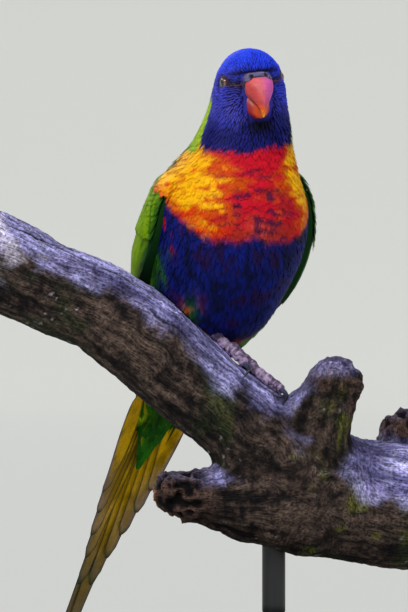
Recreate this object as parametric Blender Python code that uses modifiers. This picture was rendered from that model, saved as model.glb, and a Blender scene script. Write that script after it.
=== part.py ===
"""A life-size rainbow lorikeet that grips a short cut branch, on a plain display stand.

The bird is one smooth body, given by a table of stations down its middle line, and parted
into named pieces. Its wings and tail are overlapping vanes that follow the same body.
Lengths are in millimetres times MM, which makes them metres. Z is up, the origin is the
middle of the base's underside, and the bird looks along -Y, turned a little to +X.
"""

import math

import bmesh
import bpy
import numpy as np
from mathutils import Matrix, Vector

MM = 0.001
GAP = 0.3 * MM

# Stations down the bird's middle line, as measured from the perch datum, in millimetres and
# degrees: x, y, z, half width, depth in front, depth behind, turn, lean forward, roll.
PERCH_DATUM = np.array((-6.0, -14.0, 152.0))
STATIONS = np.array(
    (
        (18.3, -9.0, 110.5, 0.0, 0.0, 0.0, 12.5, 4, 6.5),  # top of the crown
        (18.5, -9.2, 108.3, 7.4, 9.5, 9.5, 12.5, 4, 6.5),  # crown
        (19.0, -9.6, 102.2, 12.8, 15.4, 15.4, 12.5, 4, 6.5),  # forehead
        (19.2, -10.0, 95.3, 15.1, 17.4, 18.6, 12.5, 4, 6.5),  # eye
        (18.6, -10.0, 86.5, 16.8, 16.8, 20.4, 12.5, 4, 6.0),  # cheek
        (17.2, -9.3, 77.0, 19.4, 17.0, 22.4, 12, 4, 5.0),  # throat
        (15.2, -8.0, 67.5, 22.4, 20.4, 24.8, 12, 6, 3.5),  # collar
        (12.9, -5.6, 57.0, 27.4, 27.0, 27.4, 14, 10, 2.0),  # shoulder
        (12.4, -2.0, 43.5, 32.2, 33.0, 29.6, 17, 17, 0.0),  # breast
        (9.6, 4.6, 27.0, 32.4, 34.0, 28.8, 20, 24, 0.0),  # upper belly
        (3.6, 14.8, 8.5, 28.0, 28.0, 25.6, 24, 31, 0.0),  # lower belly
        (-4.4, 26.8, -9.5, 21.4, 17.6, 20.0, 28, 36, 0.0),  # vent
        (-11.2, 37.6, -25.2, 16.2, 11.0, 12.6, 32, 38, 0.0),  # rump
        (-16.2, 46.2, -38.0, 13.2, 6.4, 7.4, 33, 38, 0.0),  # tail root
        (-28.2, 64.1, -65.6, 13.6, 4.0, 4.4, 34, 38, 0.0),  # tail, a quarter down
        (-43.6, 87.1, -101.0, 10.0, 3.2, 3.6, 34, 38, 0.0),  # tail, two thirds down
    )
)
STATION = {
    name: float(i)
    for i, name in enumerate(
        "apex crown forehead eye cheek throat collar shoulder breast upper_belly lower_belly"
        " vent rump tail_root tail_upper tail_lower".split()
    )
}
SQUARENESS = 0.03
THIGH = {"station": 10.55, "angle": 0.62, "height": 3.0 * MM, "spread": (0.75, 0.42)}

# Where the body is parted, in stations
CROWN_TOP = 0.12
CROWN_CROWDING = 1.35
NECK_TOP = 5.45
NECK_FOOT = 6.75
TORSO_FOOT = 12.55
PART_GAP = 0.02

# Bill, in the head's own axes from the middle of the eye station
BILL_ARC = {"y": -16.2 * MM, "z": -6.6 * MM, "radius": 12.1 * MM, "start": 90.0, "end": 229.0}
BILL_WIDTH = 5.5 * MM
BILL_ROOT = 4.5 * MM
BILL_GAPE = (0.6 * MM, 10.0 * MM)
BILL_LEAST_DEPTH = 1.1 * MM
BILL_PINCH = 0.26
CERE_SHARE = 0.15
CERE_RISE = 0.5 * MM
LOWER_BILL = {
    "line": ((-9.0, -9.4), (-13.5, -10.0), (-17.5, -11.0), (-20.4, -12.3), (-22.3, -13.4)),
    "half_width": (4.8, 5.0, 4.5, 3.4, 2.0),
    "half_height": (4.8, 5.4, 5.0, 3.8, 2.0),
}
NOSTRIL = {
    "inside": (2.45 * MM, -15.6 * MM, 3.5 * MM),
    "outside": (4.6 * MM, -20.4 * MM, 5.7 * MM),
    "radius": 0.75 * MM,
}
EYE = {"x": 11.5 * MM, "y": -6.9 * MM, "z": 1.8 * MM, "radius": 3.2 * MM}
LID = {"x": 13.15 * MM, "y": -7.45 * MM, "radius": 2.7 * MM, "thickness": 0.6 * MM, "axis": (0.94, -0.34)}

# Folded wing: the stations and angles that it covers, and the tiers of its vanes
WING_TOP = 6.95
WING_FOOT = 11.7
WING_FRONT_ANGLE = {
    -1: (80.0, 74.0, 73.0, 102.0, 122.0, 142.0),
    1: (80.0, 77.0, 74.0, 84.0, 110.0, 140.0),
}
WING_BACK_ANGLE = (140.0, 156.0, 164.0, 165.0, 165.0, 161.0)
WING_ANGLE_STATIONS = (6.95, 7.8, 9.0, 10.2, 11.7, 14.2)
WING_HEIGHT = (1.2, 3.2, 5.0, 7.2, 6.8, 4.4, 1.4)
WING_INNER = (0.5, 0.5, 0.6, 2.0, 2.6, 1.6, 0.4)
WING_HEIGHT_STATIONS = (6.95, 7.5, 8.5, 9.6, 11.0, 12.2, 14.4)
VANE_THICKNESS = 0.6 * MM
VANE_OUTLINE = ((0.0, 0.6), (0.45, 1.0), (0.82, 0.86), (1.0, 0.26))
VANE_TILT = 1.0 * MM
VANE_ROOT_SINK = 1.2 * MM
# Each tier: its vanes' root station, tip stations at the wing's front and back, the height of
# the tips over the arm, the vanes' width over their spacing, and the arc that their roots use
WING_TIERS = (
    {"name": "median", "count": 6, "root": 7.5, "tips": (8.7, 8.9), "rise": 1.2, "wide": 1.5, "arc": 1},
    {"name": "greater", "count": 6, "root": 8.45, "tips": (10.1, 10.3), "rise": 1.1, "wide": 1.45, "arc": 1},
    {"name": "secondary", "count": 6, "root": 9.5, "tips": (11.9, 12.6), "rise": 1.0, "wide": 1.5, "arc": 1},
    {"name": "primary", "count": 5, "root": 10.6, "tips": (13.1, 14.35), "rise": 0.9, "wide": 1.5, "arc": 0.6},
)

# Tail feathers from the middle pair out, along the tail's plane from its root
TAIL_LENGTHS = (137.0, 110.0, 94.0, 80.0, 66.0, 53.0)
TAIL_ROOT_SIDE = (1.4, 3.4, 5.4, 7.4, 9.0, 10.2)
TAIL_TIP_SIDE = (0.8, 1.8, 3.6, 5.8, 8.2, 10.4)
TAIL_HALF_WIDTH = (4.4, 4.9, 5.1, 5.4, 5.4, 5.0)
TAIL_TOP = 3.0 * MM
TAIL_PITCH = 0.88 * MM
TAIL_SIDE_STEP = 0.44 * MM
TAIL_SUNK = 4 * MM
TAIL_DROOP = 9.0
# The root of the tail as a solid: its stations, and its size there as a share of the body's
TAIL_CORE = ((TORSO_FOOT + PART_GAP * 1.6, 1.0), (12.9, 0.97), (13.25, 0.86), (13.55, 0.6))
COVERT_LENGTHS = (24.0, 31.0, 38.0, 31.0, 24.0)
COVERT = {"side": 7.0 * MM, "tip_side": 4.3 * MM, "half_width": 4.6 * MM, "sunk": 6 * MM}
COVERT_STEP = 0.88 * MM
COVERT_ROOT_SINK = 1.3 * MM
COVERT_LEVELS = ((TAIL_TOP + 0.9 * MM, 1), (TAIL_TOP - 6.1 * TAIL_PITCH, -1))

# Feet: each leg's place along the perch, its knee, and its two front and two back toes. A toe
# has degrees round the perch at its joints, millimetres along it, and both for its claw's tip.
LEGS = {
    "leg_right": {
        "place": -9.0,
        "knee": (-5.0, 9.5, 12.0),
        "toes": (
            ((0.0, 3.0, 6.0, 10.0), (4.5, 9.0, 13.5, 17.0), (33.0, 18.0)),
            ((-14.0, -16.0, -16.0, -15.0), (3.0, 6.0, 8.6, 10.8), (-4.0, 12.2)),
            ((-16.0, -27.0, -38.0, -47.0), (-3.5, -7.4, -11.0, -14.2), (-60.0, -17.6)),
            ((-26.0, -40.0, -53.0, -64.0), (-1.0, -2.4, -3.6, -4.8), (-82.0, -6.0)),
        ),
    },
    "leg_left": {
        "place": 7.4,
        "knee": (-11.5, 11.5, 10.5),
        "toes": (
            ((0.0, 3.0, 6.0, 10.0), (4.5, 9.0, 13.5, 17.0), (33.0, 18.0)),
            ((-18.0, -24.0, -27.0, -28.0), (3.2, 7.0, 10.6, 14.0), (-16.0, 17.2)),
            ((-28.0, -44.0, -58.0, -70.0), (-1.6, -3.4, -5.2, -6.8), (-85.0, -8.6)),
            ((-26.0, -42.0, -57.0, -70.0), (2.2, 3.8, 5.0, 6.0), (-86.0, 7.0)),
        ),
    },
}
ANKLE = {"around": -8.0, "along": 0.0, "height": 3.0 * MM}
SOLE = {"around": -6.0, "along": 0.6, "height": 1.5 * MM}
TARSUS_RADIUS = 2.4 * MM
TARSUS_SWELL = (1.45, 1.05, 1.0, 0.95)
TOE_RADIUS = 2.1 * MM
TOE_SWELL = (0.9, 1.16, 0.98, 1.12, 0.9)
TOE_REST = 0.95
CLAW_RADIUS = 1.0 * MM
CLAW_TAPER = (1.3, 1.0, 0.3)
CLAW_BEND = {"around": 0.45, "along": 0.6, "reach": 0.8, "height": 1.3 * TOE_RADIUS}
CLAW_TIP_HEIGHT = 0.4 * MM
FOOT_ROOM = 5.0 * MM

# Perch: middle lines of its limbs from the perch datum, in millimetres, with their radii
LIMB = (
    ((-96, 5, 22.4), 20.4),
    ((-84, 3.5, 16.9), 20.1),
    ((-72, 1.5, 10.7), 19.2),
    ((-58, -0.5, 5.0), 19.3),
    ((-45, -2, -0.8), 19.0),
    ((-33, -2.6, -8.9), 19.8),
    ((-22, -2.8, -17.4), 20.2),
    ((-10, -2.8, -28.8), 19.4),
    ((0.4, -2.6, -37.7), 19.0),
    ((12.8, -2, -47.4), 19.0),
    ((24, -1, -57.4), 21.5),
    ((38, 1, -68.6), 23.5),
    ((50, 4, -78.5), 25.5),
)
TRUNK = (
    ((-21.0, -12, -78), 6.4),
    ((-18.6, -12, -78.4), 8.4),
    ((-11, -11, -80), 10.4),
    ((-2, -8, -82), 12.0),
    ((8, -4.5, -82.6), 14.8),
    ((20, -1, -81.5), 20.5),
    ((34, 1, -81), 23.8),
    ((46, 3, -80.6), 25.4),
    ((64, 9, -83.4), 25.6),
    ((82, 16, -86.5), 26.8),
    ((95, 21, -87.0), 27.2),
)
UPRIGHT = (
    ((44, -2, -88), 18.0),
    ((47, -5, -72), 15.0),
    ((49.5, -8, -60), 12.6),
    ((52, -9, -48), 11.0),
    ((54.5, -9, -38), 11.0),
    ((56.5, -9, -30), 11.6),
    ((57.4, -9, -24.6), 9.4),
    ((57.6, -9, -23.2), 6.0),
)
SPUR = (
    ((83, 28, -72), 11.0),
    ((84, 30, -60), 8.6),
    ((86, 31, -50), 7.6),
    ((87, 31, -46.6), 4.6),
)
BARK_LUMP = 0.035

# Stand
BASE_SIZE = (150.0 * MM, 118.0 * MM, 8.0 * MM)
BASE_ROUND = 2.0 * MM
ROD_RADIUS = 5.0 * MM
ROD_SPOT = (30.0, 2.0, -84.0)

COLOURS = {
    "head_blue": (0.05, 0.07, 0.42, 0.7, 0.0),
    "breast_orange": (0.75, 0.16, 0.02, 0.7, 0.0),
    "belly_blue": (0.02, 0.03, 0.22, 0.7, 0.0),
    "wing_green": (0.10, 0.32, 0.03, 0.6, 0.0),
    "tail_olive": (0.35, 0.33, 0.05, 0.6, 0.0),
    "bill_red": (0.72, 0.12, 0.08, 0.35, 0.0),
    "eye_dark": (0.06, 0.01, 0.01, 0.1, 0.0),
    "foot_grey": (0.20, 0.18, 0.20, 0.7, 0.0),
    "bark": (0.16, 0.13, 0.11, 0.9, 0.0),
    "stand_black": (0.03, 0.03, 0.03, 0.4, 0.0),
}


def clear_scene():
    """Removes whatever the file starts with."""
    for obj in list(bpy.data.objects):
        bpy.data.objects.remove(obj)


def material(name):
    """A Principled material in one of the part's colours."""
    found = bpy.data.materials.get(name)
    if found:
        return found
    made = bpy.data.materials.new(name)
    made.use_nodes = True
    shader = made.node_tree.nodes["Principled BSDF"]
    red, green, blue, roughness, metallic = COLOURS[name]
    shader.inputs["Base Color"].default_value = (red, green, blue, 1.0)
    shader.inputs["Roughness"].default_value = roughness
    shader.inputs["Metallic"].default_value = metallic
    made.diffuse_color = (red, green, blue, 1.0)
    return made


def mesh_object(name, points, faces, collection):
    """An object from points in metres and faces that close it, its normals facing out."""
    mesh = bpy.data.meshes.new(name)
    mesh.from_pydata([tuple(map(float, p)) for p in points], [], [tuple(map(int, f)) for f in faces])
    shaper = bmesh.new()
    shaper.from_mesh(mesh)
    bmesh.ops.recalc_face_normals(shaper, faces=shaper.faces)
    shaper.to_mesh(mesh)
    shaper.free()
    obj = bpy.data.objects.new(name, mesh)
    collection.objects.link(obj)
    return obj


def evaluated_copy(obj, name, collection, weld=0.0):
    """A plain mesh object with obj's modifiers applied, which then takes obj's place."""
    bpy.context.view_layer.update()
    graph = bpy.context.evaluated_depsgraph_get()
    mesh = bpy.data.meshes.new_from_object(obj.evaluated_get(graph))
    mesh.transform(obj.matrix_world)
    if weld:
        shaper = bmesh.new()
        shaper.from_mesh(mesh)
        bmesh.ops.remove_doubles(shaper, verts=shaper.verts, dist=weld)
        bmesh.ops.recalc_face_normals(shaper, faces=shaper.faces)
        shaper.to_mesh(mesh)
        shaper.free()
    bpy.data.objects.remove(obj)
    made = bpy.data.objects.new(name, mesh)
    collection.objects.link(made)
    return made


def keep_largest(obj):
    """Keeps only the largest closed surface of a mesh, by the number of its faces.

    A surface ends where more than two faces meet at an edge, which drops flat slivers too.
    """
    shaper = bmesh.new()
    shaper.from_mesh(obj.data)
    bmesh.ops.triangulate(shaper, faces=shaper.faces)
    left = set(shaper.faces)
    islands = []
    while left:
        seed = left.pop()
        island, front = {seed}, [seed]
        while front:
            for edge in front.pop().edges:
                if len(edge.link_faces) != 2:
                    continue
                for face in edge.link_faces:
                    if face in left:
                        left.remove(face)
                        island.add(face)
                        front.append(face)
        islands.append(island)
    islands.sort(key=len, reverse=True)
    for island in islands[1:]:
        bmesh.ops.delete(shaper, geom=list(island), context="FACES")
    loose = [v for v in shaper.verts if not v.link_faces]
    bmesh.ops.delete(shaper, geom=loose, context="VERTS")
    shaper.to_mesh(obj.data)
    shaper.free()


def boolean(obj, operation, other=None, collection=None, solver="EXACT"):
    """Applies one Boolean with an object or a collection, and removes what it used."""
    modifier = obj.modifiers.new(operation, "BOOLEAN")
    modifier.operation = operation
    modifier.solver = solver
    if collection:
        modifier.operand_type = "COLLECTION"
        modifier.collection = collection
    else:
        modifier.object = other
    home, name = obj.users_collection[0], obj.name
    made = evaluated_copy(obj, name, home)
    for used in list(collection.objects) if collection else [other]:
        bpy.data.objects.remove(used)
    if collection:
        bpy.data.collections.remove(collection)
    keep_largest(made)
    return made


def work_collection(name):
    """A collection for the pieces of one union or cut."""
    made = bpy.data.collections.new(name)
    bpy.context.scene.collection.children.link(made)
    return made


def fuse(name, core, pieces):
    """Joins the pieces, a list of functions that each make one, to a core object."""
    joined = work_collection(name + "_pieces")
    for piece in pieces:
        piece(joined)
    return boolean(core, "UNION", collection=joined, solver="MANIFOLD")


def finish(obj, colour):
    """Gives a piece its material, with round faces shaded smooth."""
    obj.data.materials.clear()
    obj.data.materials.append(material(colour))
    obj.data.shade_smooth()
    obj.data.set_sharp_from_angle(angle=math.radians(35))
    return obj


def grid_faces(rows, columns, wrap):
    """Quads of a grid of points, row by row, closed round its columns where wrap is set."""
    faces = []
    for i in range(rows - 1):
        for j in range(columns if wrap else columns - 1):
            k = (j + 1) % columns
            faces.append((i * columns + j, i * columns + k, (i + 1) * columns + k, (i + 1) * columns + j))
    return faces


def loft(name, rings, collection):
    """A closed solid through rings of points, with a flat cap on each end."""
    rings = np.asarray(rings)
    rows, columns, _ = rings.shape
    faces = grid_faces(rows, columns, True)
    faces.append(tuple(range(columns)))
    faces.append(tuple(range((rows - 1) * columns, rows * columns)))
    return mesh_object(name, rings.reshape(-1, 3), faces, collection)


def table_at(table, stations):
    """Rows of a station table at any stations, by a Catmull-Rom curve between its rows.

    Past its first row the table is mirrored, so that the crown closes as a dome.
    """
    even = np.array((1, 1, 1, -1, -1, -1, 1, 1, 1))
    before = table[1] * even
    after = 2 * table[-1] - table[-2]
    padded = np.vstack((before, table, after))
    stations = np.clip(np.asarray(stations, float), 0, len(table) - 1)
    i = np.minimum(stations.astype(int), len(table) - 2)
    u = (stations - i)[..., None]
    p0, p1, p2, p3 = padded[i], padded[i + 1], padded[i + 2], padded[i + 3]
    curve = 2 * p1 + (p2 - p0) * u
    curve = curve + (2 * p0 - 5 * p1 + 4 * p2 - p3) * u**2
    curve = curve + (3 * p1 - p0 - 3 * p2 + p3) * u**3
    return curve / 2


def axes_at(turn, lean, roll):
    """The bird's lateral, backward and upward directions for angles in degrees."""
    turn, lean, roll = (np.radians(np.asarray(a, float)) for a in (turn, lean, roll))
    zero = np.zeros_like(turn)
    lateral = np.stack((np.cos(roll), -np.sin(roll) * np.sin(lean), np.sin(roll) * np.cos(lean)), -1)
    back = np.stack((zero, np.cos(lean), np.sin(lean)), -1)
    up = np.cross(lateral, back)

    def turned(v):
        x = v[..., 0] * np.cos(turn) - v[..., 1] * np.sin(turn)
        y = v[..., 0] * np.sin(turn) + v[..., 1] * np.cos(turn)
        return np.stack((x, y, v[..., 2]), -1)

    return turned(lateral), turned(back), turned(up)


def middle_line(stations):
    """Points of the bird's middle line in metres, and its lateral, back and up directions."""
    row = table_at(STATIONS, stations)
    lateral, back, up = axes_at(row[..., 6], row[..., 7], row[..., 8])
    return (row[..., :3] + PERCH_DATUM) * MM, lateral, back, up


def body_point(stations, angles):
    """Points of the body's surface. An angle of 0 is the breast's middle, 90 the bird's left.

    Each section is an ellipse with its own depth in front and behind, a little squared,
    and a thigh stands out low on each side.
    """
    stations, angles = np.broadcast_arrays(np.asarray(stations, float), np.asarray(angles, float))
    row = table_at(STATIONS, stations)
    centre, lateral, back, _ = middle_line(stations)
    a = np.radians(angles)
    half, front, behind = (row[..., i] * MM for i in (3, 4, 5))
    square = 1 + SQUARENESS * np.sin(2 * a) ** 2
    depth = np.where(np.cos(a) > 0, front, behind)
    signed = np.arctan2(np.sin(a), np.cos(a))
    down = (stations - THIGH["station"]) / THIGH["spread"][0]
    round_ = (np.abs(signed) - THIGH["angle"]) / THIGH["spread"][1]
    thigh = THIGH["height"] * np.exp(-(down**2) - round_**2)
    x = half * np.sin(a) * square + thigh * np.sin(a)
    y = -depth * np.cos(a) * square - thigh * np.cos(a)
    return centre + x[..., None] * lateral + y[..., None] * back


def body_surface(stations, angles):
    """Points of the body's surface, normals out of it, and metres per degree round it."""
    step_s, step_a = 0.02, 0.8
    stations, angles = np.asarray(stations, float), np.asarray(angles, float)
    point = body_point(stations, angles)
    along = body_point(stations + step_s, angles) - body_point(stations - step_s, angles)
    round_ = body_point(stations, angles + step_a) - body_point(stations, angles - step_a)
    normal = np.cross(along, round_)
    normal /= np.linalg.norm(normal, axis=-1, keepdims=True)
    outward = point - middle_line(stations)[0]
    normal *= np.where((normal * outward).sum(-1) < 0, -1.0, 1.0)[..., None]
    rate = np.linalg.norm(round_, axis=-1) / (2 * step_a)
    return point, normal, rate


def body_piece(name, first, last, rings, sides, collection):
    """A length of the body between two stations, parted from the next by flat cuts."""
    stations = np.linspace(first, last, rings)
    if first == 0.0:
        stations = last * np.linspace(0, 1, rings) ** CROWN_CROWDING
        stations[0] = CROWN_TOP
    angles = np.arange(sides) * 360.0 / sides
    points = body_point(stations[:, None], angles[None, :])
    return loft(name, points, collection)


def head_point(*local):
    """A point, or many as one array, given in the head's own axes from the eye station."""
    origin, lateral, back, up = middle_line(STATION["eye"])
    local = local[0] if len(local) == 1 else local
    local = np.asarray(local, float)
    return origin + local[..., :1] * lateral + local[..., 1:2] * back + local[..., 2:3] * up


def upper_bill(name, collection, grow=0.0, rings=12, sides=16):
    """The hooked upper bill: sections fanned round an arc from the forehead to the tip."""
    share = np.linspace(0.0, 1.0, rings)
    turn = np.radians(BILL_ARC["start"] + (BILL_ARC["end"] - BILL_ARC["start"]) * share)
    cere = CERE_RISE * np.exp(-((share / CERE_SHARE) ** 2))
    outer = BILL_ARC["radius"] + cere + grow
    inner = BILL_GAPE[0] + (BILL_GAPE[1] - BILL_GAPE[0]) * share**3.0 - grow
    inner = np.minimum(inner, outer - BILL_LEAST_DEPTH)
    half = BILL_WIDTH * (1 - share**2.0) ** 0.6 + 0.5 * MM + grow + cere
    a = np.arange(sides) * 2 * math.pi / sides
    middle, reach = (outer + inner) / 2, (outer - inner) / 2
    radial = middle[:, None] + reach[:, None] * np.cos(a)
    pinch = 1 - BILL_PINCH * np.clip(np.cos(a), 0, 1) ** 2
    x = half[:, None] * np.sin(a) * pinch
    y = BILL_ARC["y"] + radial * np.cos(turn)[:, None]
    z = BILL_ARC["z"] + radial * np.sin(turn)[:, None]
    rings_local = np.stack((x, y, z), -1)
    root = rings_local[:1] + np.array((0.0, BILL_ROOT + grow, 0.0))
    return loft(name, head_point(np.concatenate((root, rings_local))), collection)


def lower_bill(name, collection, grow=0.0, sides=14):
    """The short scoop of the lower bill, from inside the face to its blunt front edge."""
    line = np.array(LOWER_BILL["line"]) * MM
    half = np.array(LOWER_BILL["half_width"]) * MM + grow
    high = np.array(LOWER_BILL["half_height"]) * MM + grow
    heading = np.gradient(line, axis=0)
    heading /= np.linalg.norm(heading, axis=1, keepdims=True)
    line[-1] += heading[-1] * grow
    line[0] -= heading[0] * grow
    a = np.arange(sides) * 2 * math.pi / sides
    x = half[:, None] * np.sin(a)
    rise = high[:, None] * np.cos(a)
    y = line[:, :1] + rise * heading[:, 1:]
    z = line[:, 1:] - rise * heading[:, :1]
    return loft(name, head_point(np.stack((x, y, z), -1)), collection)


def ball(name, centre, radius, collection, u=16, v=10):
    """A sphere."""
    shaper = bmesh.new()
    bmesh.ops.create_uvsphere(shaper, u_segments=u, v_segments=v, radius=radius)
    mesh = bpy.data.meshes.new(name)
    shaper.to_mesh(mesh)
    shaper.free()
    mesh.transform(Matrix.Translation(Vector(centre)))
    obj = bpy.data.objects.new(name, mesh)
    collection.objects.link(obj)
    return obj


def ring(name, centre, axis, radius, thickness, collection):
    """A torus round an axis, for an eyelid."""
    bpy.ops.mesh.primitive_torus_add(
        major_radius=radius, minor_radius=thickness, major_segments=14, minor_segments=5
    )
    obj = bpy.context.active_object
    for home in list(obj.users_collection):
        home.objects.unlink(obj)
    obj.name = name
    turn = Vector(axis).to_track_quat("Z", "Y").to_matrix().to_4x4()
    obj.data.transform(Matrix.Translation(Vector(centre)) @ turn)
    collection.objects.link(obj)
    return obj


def rod(name, start, end, radius, collection, sides=16):
    """A straight cylinder between two points."""
    start, end = Vector(start), Vector(end)
    shaper = bmesh.new()
    bmesh.ops.create_cone(
        shaper, cap_ends=True, segments=sides, radius1=radius, radius2=radius, depth=(end - start).length
    )
    mesh = bpy.data.meshes.new(name)
    shaper.to_mesh(mesh)
    shaper.free()
    turn = (end - start).to_track_quat("Z", "Y").to_matrix().to_4x4()
    mesh.transform(Matrix.Translation((start + end) / 2) @ turn)
    obj = bpy.data.objects.new(name, mesh)
    collection.objects.link(obj)
    return obj


def tapered_tube(name, points, radii, collection, resolution=3, smooth=0):
    """A tube through points with a radius at each, as a curve turned into a closed mesh."""
    points, radii = np.asarray(points, float), np.asarray(radii, float)
    if smooth:
        table = np.column_stack((points, radii))
        before, after = 2 * table[0] - table[1], 2 * table[-1] - table[-2]
        padded = np.vstack((before, table, after))
        t = np.linspace(0, len(table) - 1, smooth)
        i = np.minimum(t.astype(int), len(table) - 2)
        u = (t - i)[:, None]
        p0, p1, p2, p3 = padded[i], padded[i + 1], padded[i + 2], padded[i + 3]
        curve = 2 * p1 + (p2 - p0) * u + (2 * p0 - 5 * p1 + 4 * p2 - p3) * u**2
        table = (curve + (3 * p1 - p0 - 3 * p2 + p3) * u**3) / 2
        points, radii = table[:, :3], table[:, 3]
    curve = bpy.data.curves.new(name, "CURVE")
    curve.dimensions = "3D"
    curve.bevel_depth = 1.0
    curve.bevel_resolution = resolution
    curve.use_fill_caps = True
    spline = curve.splines.new("POLY")
    spline.points.add(len(points) - 1)
    for spot, point, radius in zip(spline.points, points, radii):
        spot.co = (*point, 1.0)
        spot.radius = radius
    obj = bpy.data.objects.new(name + "_line", curve)
    collection.objects.link(obj)
    return evaluated_copy(obj, name, collection, weld=0.02 * MM)


def roughen(obj, radius):
    """Makes a tube of bark uneven by a few smooth waves, alike on each run."""
    for vertex in obj.data.vertices:
        x, y, z = (c / MM for c in vertex.co)
        wave = math.sin(0.21 * x + 0.13 * z) * math.cos(0.17 * y - 0.11 * x)
        wave += 0.6 * math.sin(0.43 * z + 0.37 * y + 0.9) * math.cos(0.31 * x)
        vertex.co += vertex.normal * wave * BARK_LUMP * radius
    return obj


def limb_points(limb):
    """The middle line and radii of a limb of the perch, in metres."""
    points = (np.array([p for p, _ in limb], float) + PERCH_DATUM) * MM
    return points, np.array([r for _, r in limb]) * MM


def limb_piece(name, limb, collection, grow=0.0, resolution=7, smooth=0):
    """One limb of the perch as a closed tube, grown by a gap where it cuts a neighbour."""
    points, radii = limb_points(limb)
    tube = tapered_tube(name, points, radii + grow, collection, resolution, smooth)
    return roughen(tube, float(radii.mean()))


def vane(name, surface, collection, line, half_width, lift, tilt=0.0, columns=3):
    """One feather as a thin closed blade on a surface.

    surface(along, across) gives points, normals and metres per unit across. line is the
    feather's along and across values at its root and tip, lift its height over the surface
    at both, and tilt how much higher its first edge is than its last.
    """
    rows, outline = np.array(VANE_OUTLINE).T
    (along0, across0), (along1, across1) = line
    along = along0 + (along1 - along0) * rows
    across = across0 + (across1 - across0) * rows
    height = lift[0] + (lift[1] - lift[0]) * rows
    _, _, rate = surface(along, across)
    u = np.linspace(-1, 1, columns)
    wide = half_width * outline / rate
    a = across[:, None] + u[None, :] * wide[:, None]
    point, normal, _ = surface(np.broadcast_to(along[:, None], a.shape), a)
    rise = height[:, None] - tilt * u[None, :] / 2
    top = point + normal * rise[..., None]
    bottom = top - normal * VANE_THICKNESS
    count = len(rows) * columns
    points = np.concatenate((top.reshape(-1, 3), bottom.reshape(-1, 3)))
    faces = []
    for i in range(len(rows) - 1):
        for j in range(columns - 1):
            p, q = i * columns + j, i * columns + j + 1
            r, s = p + columns, q + columns
            faces += [(p, q, s), (p, s, r)]
            faces += [(p + count, s + count, q + count), (p + count, r + count, s + count)]
        for j in (0, columns - 1):
            p, r = i * columns + j, (i + 1) * columns + j
            faces += [(p, r, r + count), (p, r + count, p + count)]
    for i in (0, len(rows) - 1):
        for j in range(columns - 1):
            p, q = i * columns + j, i * columns + j + 1
            faces += [(p, q, q + count), (p, q + count, p + count)]
    return mesh_object(name, points, faces, collection)


def wing_edge(angles, stations):
    """The wing's front or back edge, in degrees round the body, with its corners eased."""
    near = [np.interp(np.add(stations, d), WING_ANGLE_STATIONS, angles) for d in (-0.5, -0.2, 0.2, 0.5)]
    return np.mean(near, axis=0)


def wing_camber(share):
    """How far the wing's height is reached, across it from its front edge to its back edge."""
    return 0.36 + 0.64 * np.sin(math.pi * (0.07 + 0.88 * np.asarray(share))) ** 0.7


def wing_core(name, side, collection, rows=12, columns=7):
    """The folded arm under the coverts: a shell on the body's side, thick in front."""
    stations = np.linspace(WING_TOP, WING_FOOT, rows)
    share = np.linspace(0, 1, columns)
    front = wing_edge(WING_FRONT_ANGLE[side], stations)
    behind = wing_edge(WING_BACK_ANGLE, stations)
    angles = side * (front[:, None] + (behind - front)[:, None] * share[None, :])
    point, normal, _ = body_surface(np.broadcast_to(stations[:, None], angles.shape), angles)
    height = np.interp(stations, WING_HEIGHT_STATIONS, WING_HEIGHT)[:, None] * MM
    outer = point + normal * (height * wing_camber(share)[None, :])[..., None]
    inner = point + normal * np.interp(stations, WING_HEIGHT_STATIONS, WING_INNER)[:, None, None] * MM
    rings = np.concatenate((outer, inner[:, ::-1]), axis=1)
    return loft(name, rings, collection)


def wing(name, side, collection):
    """A folded wing: the arm with coverts, secondaries and primaries in overlapping tiers."""
    core = wing_core(name, side, collection)

    def surface(along, across):
        point, normal, rate = body_surface(along, side * across)
        return point, normal, rate

    def tier_maker(tier, index):
        share = (index + 0.5) / tier["count"]
        tip = tier["tips"][0] + (tier["tips"][1] - tier["tips"][0]) * share
        root_front, tip_front = wing_edge(WING_FRONT_ANGLE[side], (tier["root"], tip))
        root_back, tip_back = wing_edge(WING_BACK_ANGLE, (tier["root"], tip))
        root_back = root_front + tier["arc"] * (root_back - root_front)
        root_angle = root_front + (root_back - root_front) * share
        tip_angle = tip_front + (tip_back - tip_front) * share
        rate = body_surface(tier["root"], side * root_angle)[2]
        pitch = (root_back - root_front) * rate / tier["count"]
        arm = np.interp((tier["root"], tip), WING_HEIGHT_STATIONS, WING_HEIGHT) * wing_camber(share) * MM
        low, high = arm[0] - VANE_ROOT_SINK, arm[1] + tier["rise"] * MM
        line = ((tier["root"], root_angle), (tip, tip_angle))

        def make(home):
            label, half = tier["name"] + str(index), pitch * tier["wide"] / 2
            vane(label, surface, home, line, half, (low, high), VANE_TILT)

        return make

    makers = [tier_maker(tier, i) for tier in WING_TIERS for i in range(tier["count"])]
    made = fuse(name, core, makers)
    room = limb_piece("limb_room", LIMB, work_collection(name + "_room"), grow=1.5 * GAP)
    return finish(boolean(made, "DIFFERENCE", other=room, solver="MANIFOLD"), "wing_green")


def tail_surface(along, across):
    """The tail's own flat plane: distance from its root and to its side, in metres."""
    origin, lateral, back, up = middle_line(STATION["tail_root"])
    along, across = np.broadcast_arrays(np.asarray(along, float), np.asarray(across, float))
    droop = across[..., None] ** 2 * -TAIL_DROOP * back
    point = origin - along[..., None] * up + across[..., None] * lateral + droop
    normal = np.broadcast_to(back, point.shape)
    return point, normal, np.ones(along.shape)


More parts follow.
